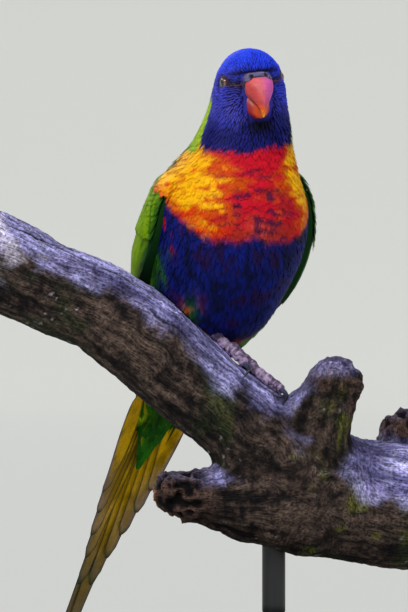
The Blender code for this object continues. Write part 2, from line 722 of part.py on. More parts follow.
def tail(name, collection):
    """Twelve tail feathers in steps, longest on top, with coverts over and under the root."""
    stations, shrink = np.array(TAIL_CORE).T
    angles = np.arange(20) * 18.0
    points = body_point(stations[:, None], angles[None, :])
    centre = middle_line(stations)[0][:, None, :]
    core = loft(name, centre + (points - centre) * shrink[:, None, None], collection)
    makers = []

    def feather_maker(pair, side):
        level = TAIL_TOP - TAIL_PITCH * pair - (TAIL_SIDE_STEP if side > 0 else 0.0)
        root = (-TAIL_SUNK, side * TAIL_ROOT_SIDE[pair] * MM)
        tip = (TAIL_LENGTHS[pair] * MM, side * TAIL_TIP_SIDE[pair] * MM)

        def make(home):
            half = TAIL_HALF_WIDTH[pair] * MM
            vane(f"feather{pair}{side}", tail_surface, home, (root, tip), half, (level, level))

        return make

    def covert_maker(index, level, side):
        share = index / (len(COVERT_LENGTHS) - 1) * 2 - 1
        root = (-COVERT["sunk"], share * COVERT["side"])
        tip = (COVERT_LENGTHS[index] * MM, share * COVERT["tip_side"])
        lift = (level - side * COVERT_ROOT_SINK, level + side * COVERT_STEP * (index % 2))

        def make(home):
            vane(f"covert{index}{side}", tail_surface, home, (root, tip), COVERT["half_width"], lift)

        return make

    for pair in range(len(TAIL_LENGTHS)):
        makers += [feather_maker(pair, -1), feather_maker(pair, 1)]
    for level, side in COVERT_LEVELS:
        makers += [covert_maker(index, level, side) for index in range(len(COVERT_LENGTHS))]
    return finish(fuse(name, core, makers), "tail_olive")


def perch_frame(x):
    """The perch's middle point, radius and directions at a distance along the model's X."""
    points, radii = limb_points(LIMB)
    place = (x + PERCH_DATUM[0]) * MM
    centre = np.array([np.interp(place, points[:, 0], points[:, i]) for i in range(3)])
    ahead = np.array([np.interp(place + 2 * MM, points[:, 0], points[:, i]) for i in range(3)])
    radius = np.interp(place, points[:, 0], radii)
    along = (ahead - centre) / np.linalg.norm(ahead - centre)
    up = np.array((0.0, 0.0, 1.0))
    top = up - along * (up @ along)
    top /= np.linalg.norm(top)
    front = np.cross(along, top)
    front *= -np.sign(front[1])
    return centre, radius, along, top, front


def on_perch(x, around, along, height):
    """A point over the perch's bark, by degrees round it from its top towards the front."""
    centre, radius, heading, top, front = perch_frame(x)
    a = math.radians(around)
    outward = math.cos(a) * top + math.sin(a) * front
    return centre + heading * along * MM + outward * (radius + height)


def toe_paths(bones):
    """Middle lines of a foot's four toes, from the ankle, and of their claws."""
    x = bones["place"]
    ankle = on_perch(x, **ANKLE)
    toes, claws = [], []
    for rounds, runs, (tip_round, tip_run) in bones["toes"]:
        joints = [on_perch(x, around, along, TOE_RADIUS * TOE_REST) for around, along in zip(rounds, runs)]
        around = CLAW_BEND["around"] * tip_round + (1 - CLAW_BEND["around"]) * rounds[-1]
        along = CLAW_BEND["along"] * tip_run + (1 - CLAW_BEND["along"]) * runs[-1]
        bend = on_perch(x, around, along + math.copysign(CLAW_BEND["reach"], tip_run), CLAW_BEND["height"])
        toes.append([ankle] + joints)
        claws.append((joints[-1], bend, on_perch(x, tip_round, tip_run, CLAW_TIP_HEIGHT)))
    return ankle, toes, claws


def shank(name, bones, collection, grow=0.0):
    """The shank from the knee, inside the feathers, to the ankle on the perch."""
    ankle = toe_paths(bones)[0]
    knee = ankle + np.array(bones["knee"]) * MM
    end = (knee - ankle) / np.linalg.norm(knee - ankle) * grow
    line = (knee + end, (knee + ankle) / 2, ankle, on_perch(bones["place"], **SOLE))
    radii = np.array(TARSUS_SWELL) * TARSUS_RADIUS + grow
    return tapered_tube(name, line, radii, collection, resolution=2)


def leg(name, bones, collection):
    """A short shank and its foot: two toes forward, two back, each with a hooked claw."""
    core = shank(name, bones, collection)
    _, toes, claws = toe_paths(bones)

    def piece_maker(label, path, radii, resolution, rows):
        def make(home):
            tapered_tube(label, path, radii, home, resolution=resolution, smooth=rows)

        return make

    makers = []
    for number, (toe, claw) in enumerate(zip(toes, claws)):
        makers.append(piece_maker(f"toe{number}", toe, np.array(TOE_SWELL) * TOE_RADIUS, 1, 9))
        makers.append(piece_maker(f"claw{number}", claw, np.array(CLAW_TAPER) * CLAW_RADIUS, 1, 5))
    return fuse(name, core, makers)


def build_head(collection):
    """The head with its bill and eyes. The head is cut clear of the bill and the eyes."""
    head = body_piece("head", 0.0, NECK_TOP, 16, 26, collection)
    boolean_home = work_collection("bill_room")
    upper_bill("upper_room", boolean_home, grow=GAP)
    lower_bill("lower_room", boolean_home, grow=GAP)
    head = boolean(head, "DIFFERENCE", collection=boolean_home)
    upper = upper_bill("beak_upper", collection)
    nostrils = work_collection("nostrils")
    for side in (-1, 1):
        start, end = (head_point(side * x, y, z) for x, y, z in (NOSTRIL["inside"], NOSTRIL["outside"]))
        rod(f"nostril{side}", start, end, NOSTRIL["radius"], nostrils, sides=8)
    upper = boolean(upper, "DIFFERENCE", collection=nostrils)
    lower = lower_bill("beak_lower", collection)
    room = upper_bill("upper_room", work_collection("upper_room_home"), grow=GAP)
    lower = boolean(lower, "DIFFERENCE", other=room)
    finish(upper, "bill_red")
    finish(lower, "bill_red")
    lids = work_collection("lids")
    for side in (-1, 1):
        place = head_point(side * LID["x"], LID["y"], EYE["z"])
        axis = head_point(side * LID["axis"][0], LID["axis"][1], 0.0) - head_point(0, 0, 0)
        ring(f"lid{side}", place, axis, LID["radius"], LID["thickness"], lids)
    head = boolean(head, "UNION", collection=lids)
    sockets = work_collection("sockets")
    for side in (-1, 1):
        centre = head_point(side * EYE["x"], EYE["y"], EYE["z"])
        ball(f"socket{side}", centre, EYE["radius"] + GAP, sockets)
    head = boolean(head, "DIFFERENCE", collection=sockets)
    finish(head, "head_blue")
    for name, side in (("eye_right", -1), ("eye_left", 1)):
        centre = head_point(side * EYE["x"], EYE["y"], EYE["z"])
        finish(ball(name, centre, EYE["radius"], collection, 14, 8), "eye_dark")


def build_body(collection):
    """The neck and the torso, which is hollowed over the perch and round both shanks."""
    neck = body_piece("neck", NECK_TOP + PART_GAP * 1.8, NECK_FOOT, 5, 26, collection)
    finish(neck, "breast_orange")
    torso = body_piece("torso", NECK_FOOT + PART_GAP * 1.6, TORSO_FOOT, 19, 30, collection)
    room = work_collection("perch_room")
    limb_piece("limb_room", LIMB, room, grow=FOOT_ROOM)
    torso = boolean(torso, "DIFFERENCE", collection=room)
    sockets = work_collection("leg_sockets")
    for name, bones in LEGS.items():
        shank(name + "_socket", bones, sockets, grow=GAP)
    torso = boolean(torso, "DIFFERENCE", collection=sockets)
    finish(torso, "belly_blue")


def build_legs(collection):
    """Both legs, cut clear of the perch that they grip."""
    for name, bones in LEGS.items():
        made = leg(name, bones, collection)
        room = limb_piece("limb_room", LIMB, work_collection(name + "_room"), grow=1.2 * GAP)
        finish(boolean(made, "DIFFERENCE", other=room), "foot_grey")


def build_perch(collection):
    """The cut branch: a sloping limb, the stout fork that it joins, and cut stubs."""
    core = limb_piece("perch_branch", LIMB, collection)
    limbs = work_collection("limbs")
    limb_piece("trunk", TRUNK, limbs)
    limb_piece("upright", UPRIGHT, limbs, resolution=5)
    limb_piece("spur", SPUR, limbs, resolution=4)
    finish(boolean(core, "UNION", collection=limbs), "bark")


def build_stand(collection):
    """A flat base and one short rod whose top is cut to the bark."""
    width, depth, height = BASE_SIZE
    bpy.ops.mesh.primitive_cube_add(size=1.0)
    base = bpy.context.active_object
    for home in list(base.users_collection):
        home.objects.unlink(base)
    collection.objects.link(base)
    base.name = "stand_base"
    base.data.transform(Matrix.Translation((0, 0, height / 2)) @ Matrix.Diagonal((width, depth, height, 1)))
    corners = base.modifiers.new("corners", "BEVEL")
    corners.width = BASE_ROUND
    corners.segments = 2
    finish(base, "stand_black")
    top = (np.array(ROD_SPOT) + PERCH_DATUM) * MM
    foot = (top[0], top[1], height + GAP)
    made = rod("stand_rod", foot, tuple(top), ROD_RADIUS, collection, sides=24)
    room = limb_piece("trunk_room", TRUNK, work_collection("stand_rod_room"), grow=GAP, resolution=7)
    finish(boolean(made, "DIFFERENCE", other=room), "stand_black")


def main():
    """Builds the whole part into one collection."""
    clear_scene()
    parts = bpy.data.collections.new("rainbow_lorikeet")
    bpy.context.scene.collection.children.link(parts)
    build_head(parts)
    build_body(parts)
    wing("wing_right", -1, parts)
    wing("wing_left", 1, parts)
    tail("tail", parts)
    build_legs(parts)
    build_perch(parts)
    build_stand(parts)


main()
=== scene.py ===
"""Dresses a perched rainbow lorikeet, a still and life-size display model.

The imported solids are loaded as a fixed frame. Over them this script builds what is seen: one
skin with a coat of feathers, the folded wings, the tail, eyes with lids, the horny bill and its
cere, scaled feet with claws, the bark of the perch, and a satin stand. Lengths are in metres,
Z is up and the bird looks along -Y. Feathers are thin closed vanes laid along the body's own
surface, each with a shaft, an arched blade and a ragged tip.
"""
from __future__ import annotations

import logging
import math
from dataclasses import dataclass, field, replace
from enum import Enum
from typing import Callable, Sequence

import bpy
import numpy as np

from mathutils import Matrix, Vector

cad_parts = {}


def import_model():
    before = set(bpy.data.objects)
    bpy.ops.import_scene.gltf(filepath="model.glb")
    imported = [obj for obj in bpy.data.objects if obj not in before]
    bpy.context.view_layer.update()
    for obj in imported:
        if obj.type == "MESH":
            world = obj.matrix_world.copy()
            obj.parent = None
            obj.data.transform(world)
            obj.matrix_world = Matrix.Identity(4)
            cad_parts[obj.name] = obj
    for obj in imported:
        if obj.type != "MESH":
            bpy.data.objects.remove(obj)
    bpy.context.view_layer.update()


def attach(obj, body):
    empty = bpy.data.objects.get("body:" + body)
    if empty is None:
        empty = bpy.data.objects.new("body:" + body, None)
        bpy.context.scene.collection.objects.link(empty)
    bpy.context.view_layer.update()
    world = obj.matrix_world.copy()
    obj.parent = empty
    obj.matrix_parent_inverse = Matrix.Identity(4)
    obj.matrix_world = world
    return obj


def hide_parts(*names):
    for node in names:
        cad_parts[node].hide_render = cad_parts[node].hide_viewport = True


LOG = logging.getLogger("lorikeet")
Array = np.ndarray
MM = 0.001
UP = np.array((0.0, 0.0, 1.0))
# The names of the point data that finishes read
COLOUR = "dye"
GRAIN = "grain"
# The share of a blade's half width that its shaft covers, and the share of its height lost at the tip
SHAFT_SHARE = 0.1
SHAFT_FALL = 0.7
# The coat's unwrap: the stations it spans, half a blade's patch, and the margin round all patches
UNWRAP_STATIONS = 15
UNWRAP_PATCH = 0.0015
UNWRAP_MARGIN = 0.005

# The perch datum and the bird's stations are the driving sizes of the solids, repeated here.
PERCH_DATUM = np.array((-6.0, -14.0, 152.0))
# Each station: x, y, z, half width, depth in front, depth behind, turn, lean forward, roll
STATIONS = np.array(
    (
        (18.3, -9.0, 110.5, 0.0, 0.0, 0.0, 12.5, 4, 6.5),
        (18.5, -9.2, 108.3, 7.4, 9.5, 9.5, 12.5, 4, 6.5),
        (19.0, -9.6, 102.2, 12.8, 15.4, 15.4, 12.5, 4, 6.5),
        (19.2, -10.0, 95.3, 15.1, 17.4, 18.6, 12.5, 4, 6.5),
        (18.6, -10.0, 86.5, 16.8, 16.8, 20.4, 12.5, 4, 6.0),
        (17.2, -9.3, 77.0, 19.4, 17.0, 22.4, 12, 4, 5.0),
        (15.2, -8.0, 67.5, 22.4, 20.4, 24.8, 12, 6, 3.5),
        (12.9, -5.6, 57.0, 27.4, 27.0, 27.4, 14, 10, 2.0),
        (12.4, -2.0, 43.5, 32.2, 33.0, 29.6, 17, 17, 0.0),
        (9.6, 4.6, 27.0, 32.4, 34.0, 28.8, 20, 24, 0.0),
        (3.6, 14.8, 8.5, 28.0, 28.0, 25.6, 24, 31, 0.0),
        (-4.4, 26.8, -9.5, 21.4, 17.6, 20.0, 28, 36, 0.0),
        (-11.2, 37.6, -25.2, 16.2, 11.0, 12.6, 32, 38, 0.0),
        (-16.2, 46.2, -38.0, 13.2, 6.4, 7.4, 33, 38, 0.0),
        (-28.2, 64.1, -65.6, 13.6, 4.0, 4.4, 34, 38, 0.0),
        (-43.6, 87.1, -101.0, 10.0, 3.2, 3.6, 34, 38, 0.0),
    )
)
EYE_STATION = 3.0
TAIL_STATION = 13.0
SQUARENESS = 0.03
THIGH = {"station": 10.55, "angle": 0.62, "height": 3.0 * MM, "spread": (0.75, 0.42)}

# The folded wing's front and back edges, in degrees round the body, at six stations
WING_STATIONS = (6.95, 7.8, 9.0, 10.2, 11.7, 14.2)
WING_FRONT_ANGLE = {
    -1: (82.0, 83.0, 84.0, 106.0, 131.0, 154.0),
    1: (80.0, 77.0, 69.0, 66.0, 92.0, 136.0),
}
WING_BACK_ANGLE = (140.0, 156.0, 164.0, 165.0, 165.0, 161.0)

# Feet: each leg's place along the perch, its knee, and its toes. A toe has degrees round the
# perch at its joints, millimetres along it, and both for its claw's tip.
LEGS = {
    "leg_right": (
        -9.0,
        (-5.0, 9.5, 12.0),
        (
            ((0.0, 3.0, 6.0, 12.0), (4.5, 9.0, 13.5, 17.0), (38.0, 20.2)),
            ((-14.0, -16.0, -16.0, -15.0), (3.0, 6.0, 8.6, 10.8), (-4.0, 12.2)),
            ((-16.0, -27.0, -38.0, -47.0), (-3.5, -7.4, -11.0, -14.2), (-60.0, -17.6)),
            ((-26.0, -40.0, -53.0, -64.0), (-1.0, -2.4, -3.6, -4.8), (-82.0, -6.0)),
        ),
    ),
    "leg_left": (
        7.4,
        (-11.5, 11.5, 10.5),
        (
            ((0.0, 3.0, 6.0, 12.0), (4.5, 9.0, 13.5, 17.0), (38.0, 20.2)),
            ((-18.0, -24.0, -27.0, -28.0), (3.2, 7.0, 10.6, 14.0), (-16.0, 17.2)),
            ((-28.0, -44.0, -58.0, -70.0), (-1.6, -3.4, -5.2, -6.8), (-85.0, -8.6)),
            ((-26.0, -42.0, -57.0, -70.0), (2.2, 3.8, 5.0, 6.0), (-86.0, 7.0)),
        ),
    ),
}

# The perch: middle lines of its limbs from the perch datum, in millimetres, with their radii
LIMB = (
    ((-96, 5, 22.4), 20.4),
    ((-84, 3.5, 16.9), 20.1),
    ((-72, 1.5, 10.7), 19.2),
    ((-58, -0.5, 5.0), 19.3),
    ((-45, -2, -0.8), 19.0),
    ((-33, -2.6, -8.9), 19.8),
    ((-22, -2.8, -17.4), 20.2),
    ((-10, -2.8, -28.8), 19.4),
    ((0.4, -2.6, -37.7), 19.0),
    ((12.8, -2, -47.4), 19.0),
    ((24, -1, -57.4), 21.5),
    ((38, 1, -68.6), 23.5),
    ((50, 4, -78.5), 25.5),
)
TRUNK = (
    ((-12.6, -11.4, -79.2), 8.8),
    ((-4, -8.6, -81.4), 11.4),
    ((8, -4.5, -82.6), 14.8),
    ((20, -1, -81.5), 20.5),
    ((34, 1, -81), 23.8),
    ((46, 3, -80.6), 25.4),
    ((64, 9, -83.4), 25.6),
    ((82, 16, -86.5), 26.8),
    ((95, 21, -87.0), 27.2),
)
UPRIGHT = (
    ((44, -2, -88), 18.0),
    ((47, -5, -72), 15.0),
    ((49.5, -8, -60), 12.6),
    ((52, -9, -48), 11.0),
    ((54.5, -9, -38), 11.0),
    ((56.0, -9, -33.8), 11.4),
)
SPUR = (
    ((83, 28, -72), 11.0),
    ((84, 30, -60), 8.6),
    ((86, 31, -53.5), 8.0),
)
# A saddle of wood that fills the fork, under the bark only
SADDLE = (((36, -3, -54), 12.5), ((44, -6, -46.5), 11.5), ((50, -8, -42), 11.0))
LIMBS = (LIMB, TRUNK, UPRIGHT, SPUR, SADDLE)


def smooth(low: float, high: float, value: Array | float) -> Array:
    """Share from 0 at low to 1 at high, with level ends: 3s^2 - 2s^3 of the clipped share."""
    share = np.clip((np.asarray(value, float) - low) / (high - low), 0, 1)
    return share * share * (3 - 2 * share)


def mix(first: Array, second: Array, share: Array | float) -> Array:
    """Blends two colours or points by a share that has one axis less than they have."""
    share = np.asarray(share, float)[..., None]
    return first * (1 - share) + second * share


def unit(vectors: Array) -> Array:
    """The vectors at length one."""
    return vectors / np.maximum(np.linalg.norm(vectors, axis=-1, keepdims=True), 1e-12)


def square_to(vector: Array, axis: Array) -> Array:
    """The unit vector nearest to a given one that stands square to a unit axis."""
    return unit(vector - axis * (vector @ axis))


def turns(count: int) -> Array:
    """Angles in radians of even steps once round."""
    return np.arange(count) / count * 2 * math.pi


def sheet(rows: Array, columns: Array) -> list[Array]:
    """Both parameters of a grid of points, rows first."""
    return np.meshgrid(rows, columns, indexing="ij")


def hump(value: Array, middle: float, width: float) -> Array:
    """A rounded hump of height one: exp(-((value - middle) / width)^2)."""
    return np.exp(-(((value - middle) / width) ** 2))


def added(name: str, data: bpy.types.ID) -> bpy.types.Object:
    """A new object in the scene that shows a mesh, a light or a camera."""
    obj = bpy.data.objects.new(name, data)
    bpy.context.scene.collection.objects.link(obj)
    return obj


def dye(red: int, green: int, blue: int) -> Array:
    """A colour as a screen shows it, 0 to 255, made linear for the shader."""
    level = np.array((red, green, blue)) / 255
    return np.where(level <= 0.04045, level / 12.92, ((level + 0.055) / 1.055) ** 2.4)


def spline(padded: Array, places: Array) -> Array:
    """Rows read along a Catmull-Rom curve through a table's rows.

    Between rows b and c, with a before and d after them, a share u of the way along is half of
    2b + (c - a) u + (2a - 5b + 4c - d) u^2 + (3b - a - 3c + d) u^3.

    Args:
        padded: the knots' rows, with one more row before and after them.
        places: where to read, in rows from the first knot.

    Returns:
        One row for each place.
    """
    i = np.minimum(places.astype(int), len(padded) - 4)
    u = (places - i)[..., None]
    a, b, c, d = (padded[i + k] for k in range(4))
    return (2 * b + (c - a) * u + (2 * a - 5 * b + 4 * c - d) * u**2 + (3 * b - a - 3 * c + d) * u**3) / 2


def curve_through(table: Array, count: int) -> Array:
    """Rows of a table read at even steps along a Catmull-Rom curve through them.

    Args:
        table: one row for each knot, with any columns.
        count: how many rows to return.

    Returns:
        The rows along the curve, ends included.
    """
    table = np.asarray(table, float)
    padded = np.vstack((2 * table[0] - table[1], table, 2 * table[-1] - table[-2]))
    return spline(padded, np.linspace(0, len(table) - 1, count))


class Seed:
    """The numbers that random draws start from. Each bed of small feathers has its own."""

    HORN = 3
    LOWER_BILL = 4
    COAT = 5
    SCALES = 6
    TOE_TONES = 7
    CERE = 8
    CLAWS = 9
    MOTTLING = 19
    IRIS = 21
    LIDS = 22
    BARK = 31
    WINGS = 40
    SHOULDER = 44
    CRACKS = 55
    WOOD = 61
    RINGS = 70
    FOLDS = 77
    LUMPS = 78
    TAIL = 91


class Cloud:
    """Smooth random values in space, by a cube lattice of drawn numbers."""

    SIZE = 256

    def __init__(self, seed: int) -> None:
        """Draws the lattice.

        Args:
            seed: the number that the draw starts from.
        """
        draw = np.random.default_rng(seed)
        self.order = draw.permutation(self.SIZE)
        self.level = draw.uniform(-1, 1, self.SIZE)

    def at(self, points: Array, size: float | Sequence[float]) -> Array:
        """Values from -1 to 1 whose bumps are about size across.

        Args:
            points: places, last axis x, y, z.
            size: the bumps' size, the same or one for each axis.

        Returns:
            One value for each point, by a smooth blend of the cube's eight corners.
        """
        place = points / np.asarray(size, float)
        cell = np.floor(place).astype(int)
        part = place - cell
        part = part * part * (3 - 2 * part)
        total = np.zeros(points.shape[:-1])
        for corner in np.ndindex(2, 2, 2):
            x, y, z = (np.mod(cell[..., i] + corner[i], self.SIZE) for i in range(3))
            row = self.order[np.mod(self.order[x] + y, self.SIZE)]
            drawn = self.level[self.order[np.mod(row + z, self.SIZE)]]
            weight = np.prod(np.where(np.array(corner), part, 1 - part), axis=-1)
            total += drawn * weight
        return total


@dataclass
class Shape:
    """A mesh as arrays, before it is a Blender object.

    Points are in metres. Faces are arrays of three or four corners each. Colours, the coat's
    unwrap and three coordinates in millimetres for the grain are given for each point.
    """

    points: Array
    faces: list[Array]
    colours: Array | None = None
    unwrap: Array | None = None
    grain: Array | None = None
    SHARP = 1.2

    @staticmethod
    def together(shapes: Sequence[Shape]) -> Shape:
        """All shapes as one, where all hold the same kinds of data."""
        shifts = np.cumsum([0] + [len(s.points) for s in shapes[:-1]])
        faces = [f + shift for s, shift in zip(shapes, shifts) for f in s.faces]
        data = []
        for kind in ("points", "colours", "unwrap", "grain"):
            values = [getattr(s, kind) for s in shapes]
            data.append(None if any(v is None for v in values) else np.concatenate(values))
        return Shape(data[0], faces, *data[1:])

    def halves(self, blade: int) -> tuple[Shape, Shape]:
        """The shape of equal blades as two shapes, cut between two blades near the middle.

        Args:
            blade: how many points one blade has.

        Returns:
            The first blades and the others.
        """
        cut = len(self.points) // blade // 2 * blade
        (faces,) = self.faces
        first = faces[:, 0] < cut
        data = (self.points, self.colours, self.unwrap, self.grain)
        sides = ((slice(None, cut), first, 0), (slice(cut, None), ~first, cut))
        kept = (([d[part] for d in data], faces[rows] - shift) for part, rows, shift in sides)
        return tuple(Shape(points, [quads], *rest) for (points, *rest), quads in kept)

    @staticmethod
    def seamless(spread: Array, starts: Array, sizes: Array) -> Array:
        """Unwrapped corners of faces that cross the seam, all moved to its far side.

        Args:
            spread: two values for each face corner.
            starts: each face's first corner.
            sizes: each face's number of corners.

        Returns:
            The corners' values, with no face drawn across the whole unwrap.
        """
        u = spread[:, 0].copy()
        most = np.repeat(np.maximum.reduceat(u, starts), sizes)
        u = np.where((most - u > 0.5) & (most > 0.5), 1.0, u)
        return np.column_stack((u, spread[:, 1]))

    def mesh(self, name: str) -> bpy.types.Mesh:
        """The Blender mesh, shaded smooth, with its colour attribute and UV maps."""
        made = bpy.data.meshes.new(name)
        made.vertices.add(len(self.points))
        made.vertices.foreach_set("co", np.ascontiguousarray(self.points, np.float32).ravel())
        corners = np.concatenate([f.ravel() for f in self.faces]).astype(np.int32)
        sizes = np.concatenate([np.full(len(f), f.shape[1]) for f in self.faces])
        starts = np.concatenate(((0,), np.cumsum(sizes)[:-1])).astype(np.int32)
        made.loops.add(len(corners))
        made.loops.foreach_set("vertex_index", corners)
        made.polygons.add(len(sizes))
        made.polygons.foreach_set("loop_start", starts)
        made.update(calc_edges=True)
        made.shade_smooth()
        made.set_sharp_from_angle(angle=self.SHARP)
        if self.colours is not None:
            rgba = np.column_stack((np.clip(self.colours, 0, 1), np.ones(len(self.points))))
            layer = made.color_attributes.new(COLOUR, "FLOAT_COLOR", "POINT")
            layer.data.foreach_set("color", rgba.astype(np.float32).ravel())
        if self.grain is not None:
            layer = made.attributes.new(GRAIN, "FLOAT_VECTOR", "POINT")
            layer.data.foreach_set("vector", self.grain.astype(np.float32).ravel())
        if self.unwrap is not None:
            layer = made.uv_layers.new(name="OFBake")
            spread = self.seamless(self.unwrap[corners], starts, sizes)
            layer.data.foreach_set("uv", spread.astype(np.float32).ravel())
        return made


def grid_faces(rows: int, columns: int, closed: bool = False) -> Array:
    """Quads of a grid of points, row by row. Closed joins the last column to the first."""
    i, j = sheet(np.arange(rows - 1), np.arange(columns - (not closed)))
    k = (j + 1) % columns
    this, after = i * columns, (i + 1) * columns
    return np.stack((this + j, this + k, after + k, after + j), -1).reshape(-1, 4)


def tube(rings: Array, colours: Array | None = None) -> Shape:
    """A closed solid through rings of points, with a fan to a middle point at each end.

    Args:
        rings: rows by columns by three. Seen along the rows, columns run clockwise.
        colours: one colour for each ring point, if the piece has a colour attribute.

    Returns:
        The solid, its faces looking out.
    """
    rows, columns, _ = rings.shape
    step = np.arange(columns)
    after = (step + 1) % columns
    last, top, foot = (rows - 1) * columns, rows * columns, rows * columns + 1
    fans = (
        np.stack((np.full(columns, top), after, step), -1),
        np.stack((np.full(columns, foot), last + step, last + after), -1),
    )

    def with_ends(values: Array | None) -> Array | None:
        """The rings' values as one list, with the means of both end rings after them."""
        if values is None:
            return None
        flat = values.reshape(-1, values.shape[-1])
        return np.concatenate((flat, values[:1].mean(1), values[-1:].mean(1)))

    return Shape(with_ends(rings), [grid_faces(rows, columns, True), *fans], with_ends(colours))


def turned_out(shape: Shape) -> Shape:
    """The shape with its faces reversed where they enclose a negative volume."""
    volume = 0.0
    for faces in shape.faces:
        a, b, c = (shape.points[faces[:, i]] for i in (0, 1, 2))
        volume += np.einsum("ij,ij->i", a, np.cross(b, c)).sum()
        if faces.shape[1] == 4:
            d = shape.points[faces[:, 3]]
            volume += np.einsum("ij,ij->i", a, np.cross(c, d)).sum()
    if volume < 0:
        shape.faces = [f[:, ::-1].copy() for f in shape.faces]
    return shape


def solid(rings: Array, colours: Array | None = None) -> Shape:
    """A closed solid through rings of points in either order, its faces looking out."""
    return turned_out(tube(rings, colours))


@dataclass(frozen=True)
class Frame:
    """Points of a surface with their unit normals and the steps of both parameters."""

    point: Array
    normal: Array
    dx: Array
    dy: Array

    def solve(self, vectors: Array) -> tuple[Array, Array]:
        """The parameters' change that moves a point by each vector along the surface.

        Args:
            vectors: tangent vectors in metres, one for each point.

        Returns:
            The change of both parameters, from the surface's two-by-two metric.
        """
        pairs = ((self.dx, self.dx), (self.dx, self.dy), (self.dy, self.dy))
        e, f, g = ((a * b).sum(-1) for a, b in pairs)
        p, q = (vectors * self.dx).sum(-1), (vectors * self.dy).sum(-1)
        scale = np.maximum(e * g - f * f, 1e-18)
        return (g * p - f * q) / scale, (e * q - f * p) / scale


class Chart:
    """A surface given by two parameters."""

    step = (0.01, 0.01)
    outward = 1.0

    def at(self, x: Array, y: Array) -> Array:
        """Points in metres for both parameters."""
        raise NotImplementedError

    def place(self, x: Array, y: Array) -> tuple[Array, Array]:
        """The body's station and angle in radians that lie under both parameters."""
        raise NotImplementedError

    def frame(self, x: Array, y: Array) -> Frame:
        """Points with their directions, from steps to both sides of each parameter.

        Args:
            x: the first parameter.
            y: the second parameter.

        Returns:
            The surface's frame there.
        """
        h, k = self.step
        dx = (self.at(x + h, y) - self.at(x - h, y)) / (2 * h)
        dy = (self.at(x, y + k) - self.at(x, y - k)) / (2 * k)
        return Frame(self.at(x, y), unit(np.cross(dx, dy)) * self.outward, dx, dy)


@dataclass(frozen=True)
class Axes:
    """The bird's own directions at a place: to its left, to its back and upwards."""

    lateral: Array
    back: Array
    up: Array

    @classmethod
    def turned(cls, turn: Array, lean: Array, roll: Array) -> Axes:
        """Directions for angles in degrees: rolled first, then leant, then turned about Z."""
        turn, lean, roll = (np.radians(np.asarray(a, float)) for a in (turn, lean, roll))
        lateral = np.stack((np.cos(roll), -np.sin(roll) * np.sin(lean), np.sin(roll) * np.cos(lean)), -1)
        back = np.stack((np.zeros_like(turn), np.cos(lean), np.sin(lean)), -1)
        up = np.cross(lateral, back)

        def about(v: Array) -> Array:
            """Vectors turned about Z."""
            x = v[..., 0] * np.cos(turn) - v[..., 1] * np.sin(turn)
            y = v[..., 0] * np.sin(turn) + v[..., 1] * np.cos(turn)
            return np.stack((x, y, v[..., 2]), -1)

        return cls(about(lateral), about(back), about(up))

    def move(self, origin: Array, local: Array) -> Array:
        """A point given by its distances along the three directions."""
        x, y, z = (local[..., k : k + 1] for k in range(3))
        return origin + x * self.lateral + y * self.back + z * self.up


class Body(Chart):
    """The bird's surface, by a polar chart whose middle is the crown.

    A point's distance from the chart's middle is its station down the body, and its bearing is
    its angle round the body, which is 0 down the breast and a quarter turn on the bird's left.
    """

    def rows(self, stations: Array) -> Array:
        """Rows of the station table at any stations, by a Catmull-Rom curve between its rows."""
        before = STATIONS[1] * np.array((1, 1, 1, -1, -1, -1, 1, 1, 1))
        padded = np.vstack((before, STATIONS, 2 * STATIONS[-1] - STATIONS[-2]))
        return spline(padded, np.clip(np.asarray(stations, float), 0, len(STATIONS) - 1))

    def middle(self, stations: Array) -> tuple[Array, Axes]:
        """Points of the middle line in metres, and the bird's directions there."""
        row = self.rows(stations)
        return (row[..., :3] + PERCH_DATUM) * MM, Axes.turned(row[..., 6], row[..., 7], row[..., 8])

    def section(self, stations: Array, angles: Array) -> Array:
        """Points of the surface at stations and angles in radians.

        Each section is an ellipse x = w sin a, y = -d cos a, where d is the depth in front or
        behind, grown by a share of sin(2a)^2, with a rounded thigh low on each side.

        Args:
            stations: places down the middle line.
            angles: bearings round it, 0 in front.

        Returns:
            Points in metres.
        """
        stations, a = np.broadcast_arrays(np.asarray(stations, float), np.asarray(angles, float))
        row = self.rows(stations)
        centre, axes = self.middle(stations)
        half, front, behind = (row[..., i] * MM for i in (3, 4, 5))
        square = 1 + SQUARENESS * np.sin(2 * a) ** 2
        depth = np.where(np.cos(a) > 0, front, behind)
        signed = np.arctan2(np.sin(a), np.cos(a))
        down = (stations - THIGH["station"]) / THIGH["spread"][0]
        across = (np.abs(signed) - THIGH["angle"]) / THIGH["spread"][1]
        thigh = THIGH["height"] * np.exp(-(down**2) - across**2)
        x = (half * square + thigh) * np.sin(a)
        y = -(depth * square + thigh) * np.cos(a)
        return centre + x[..., None] * axes.lateral + y[..., None] * axes.back

    def at(self, x: Array, y: Array) -> Array:
        """Points in metres for the polar chart's two parameters."""
        return self.section(*self.place(x, y))

    def place(self, x: Array, y: Array) -> tuple[Array, Array]:
        """Stations and angles from the polar chart."""
        return np.hypot(x, y), np.arctan2(x, -np.asarray(y))

    @staticmethod
    def chart(stations: Array, angles: Array) -> tuple[Array, Array]:
        """The polar chart's parameters from stations and angles in radians."""
        return stations * np.sin(angles), -stations * np.cos(angles)

    def head_axes(self) -> tuple[Array, Axes]:
        """The head's origin in the middle of the eye station, and its directions."""
        return self.middle(np.array(EYE_STATION))

    def head_point(self, local: Array) -> Array:
        """Points in metres from places in the head's own axes, also in metres."""
        origin, axes = self.head_axes()
        return axes.move(origin, np.asarray(local, float))

    def head_local(self, points: Array) -> Array:
        """Places in the head's own axes, in millimetres, from points in metres."""
        origin, axes = self.head_axes()
        off = (points - origin) / MM
        return np.stack([off @ a for a in (axes.lateral, axes.back, axes.up)], -1)


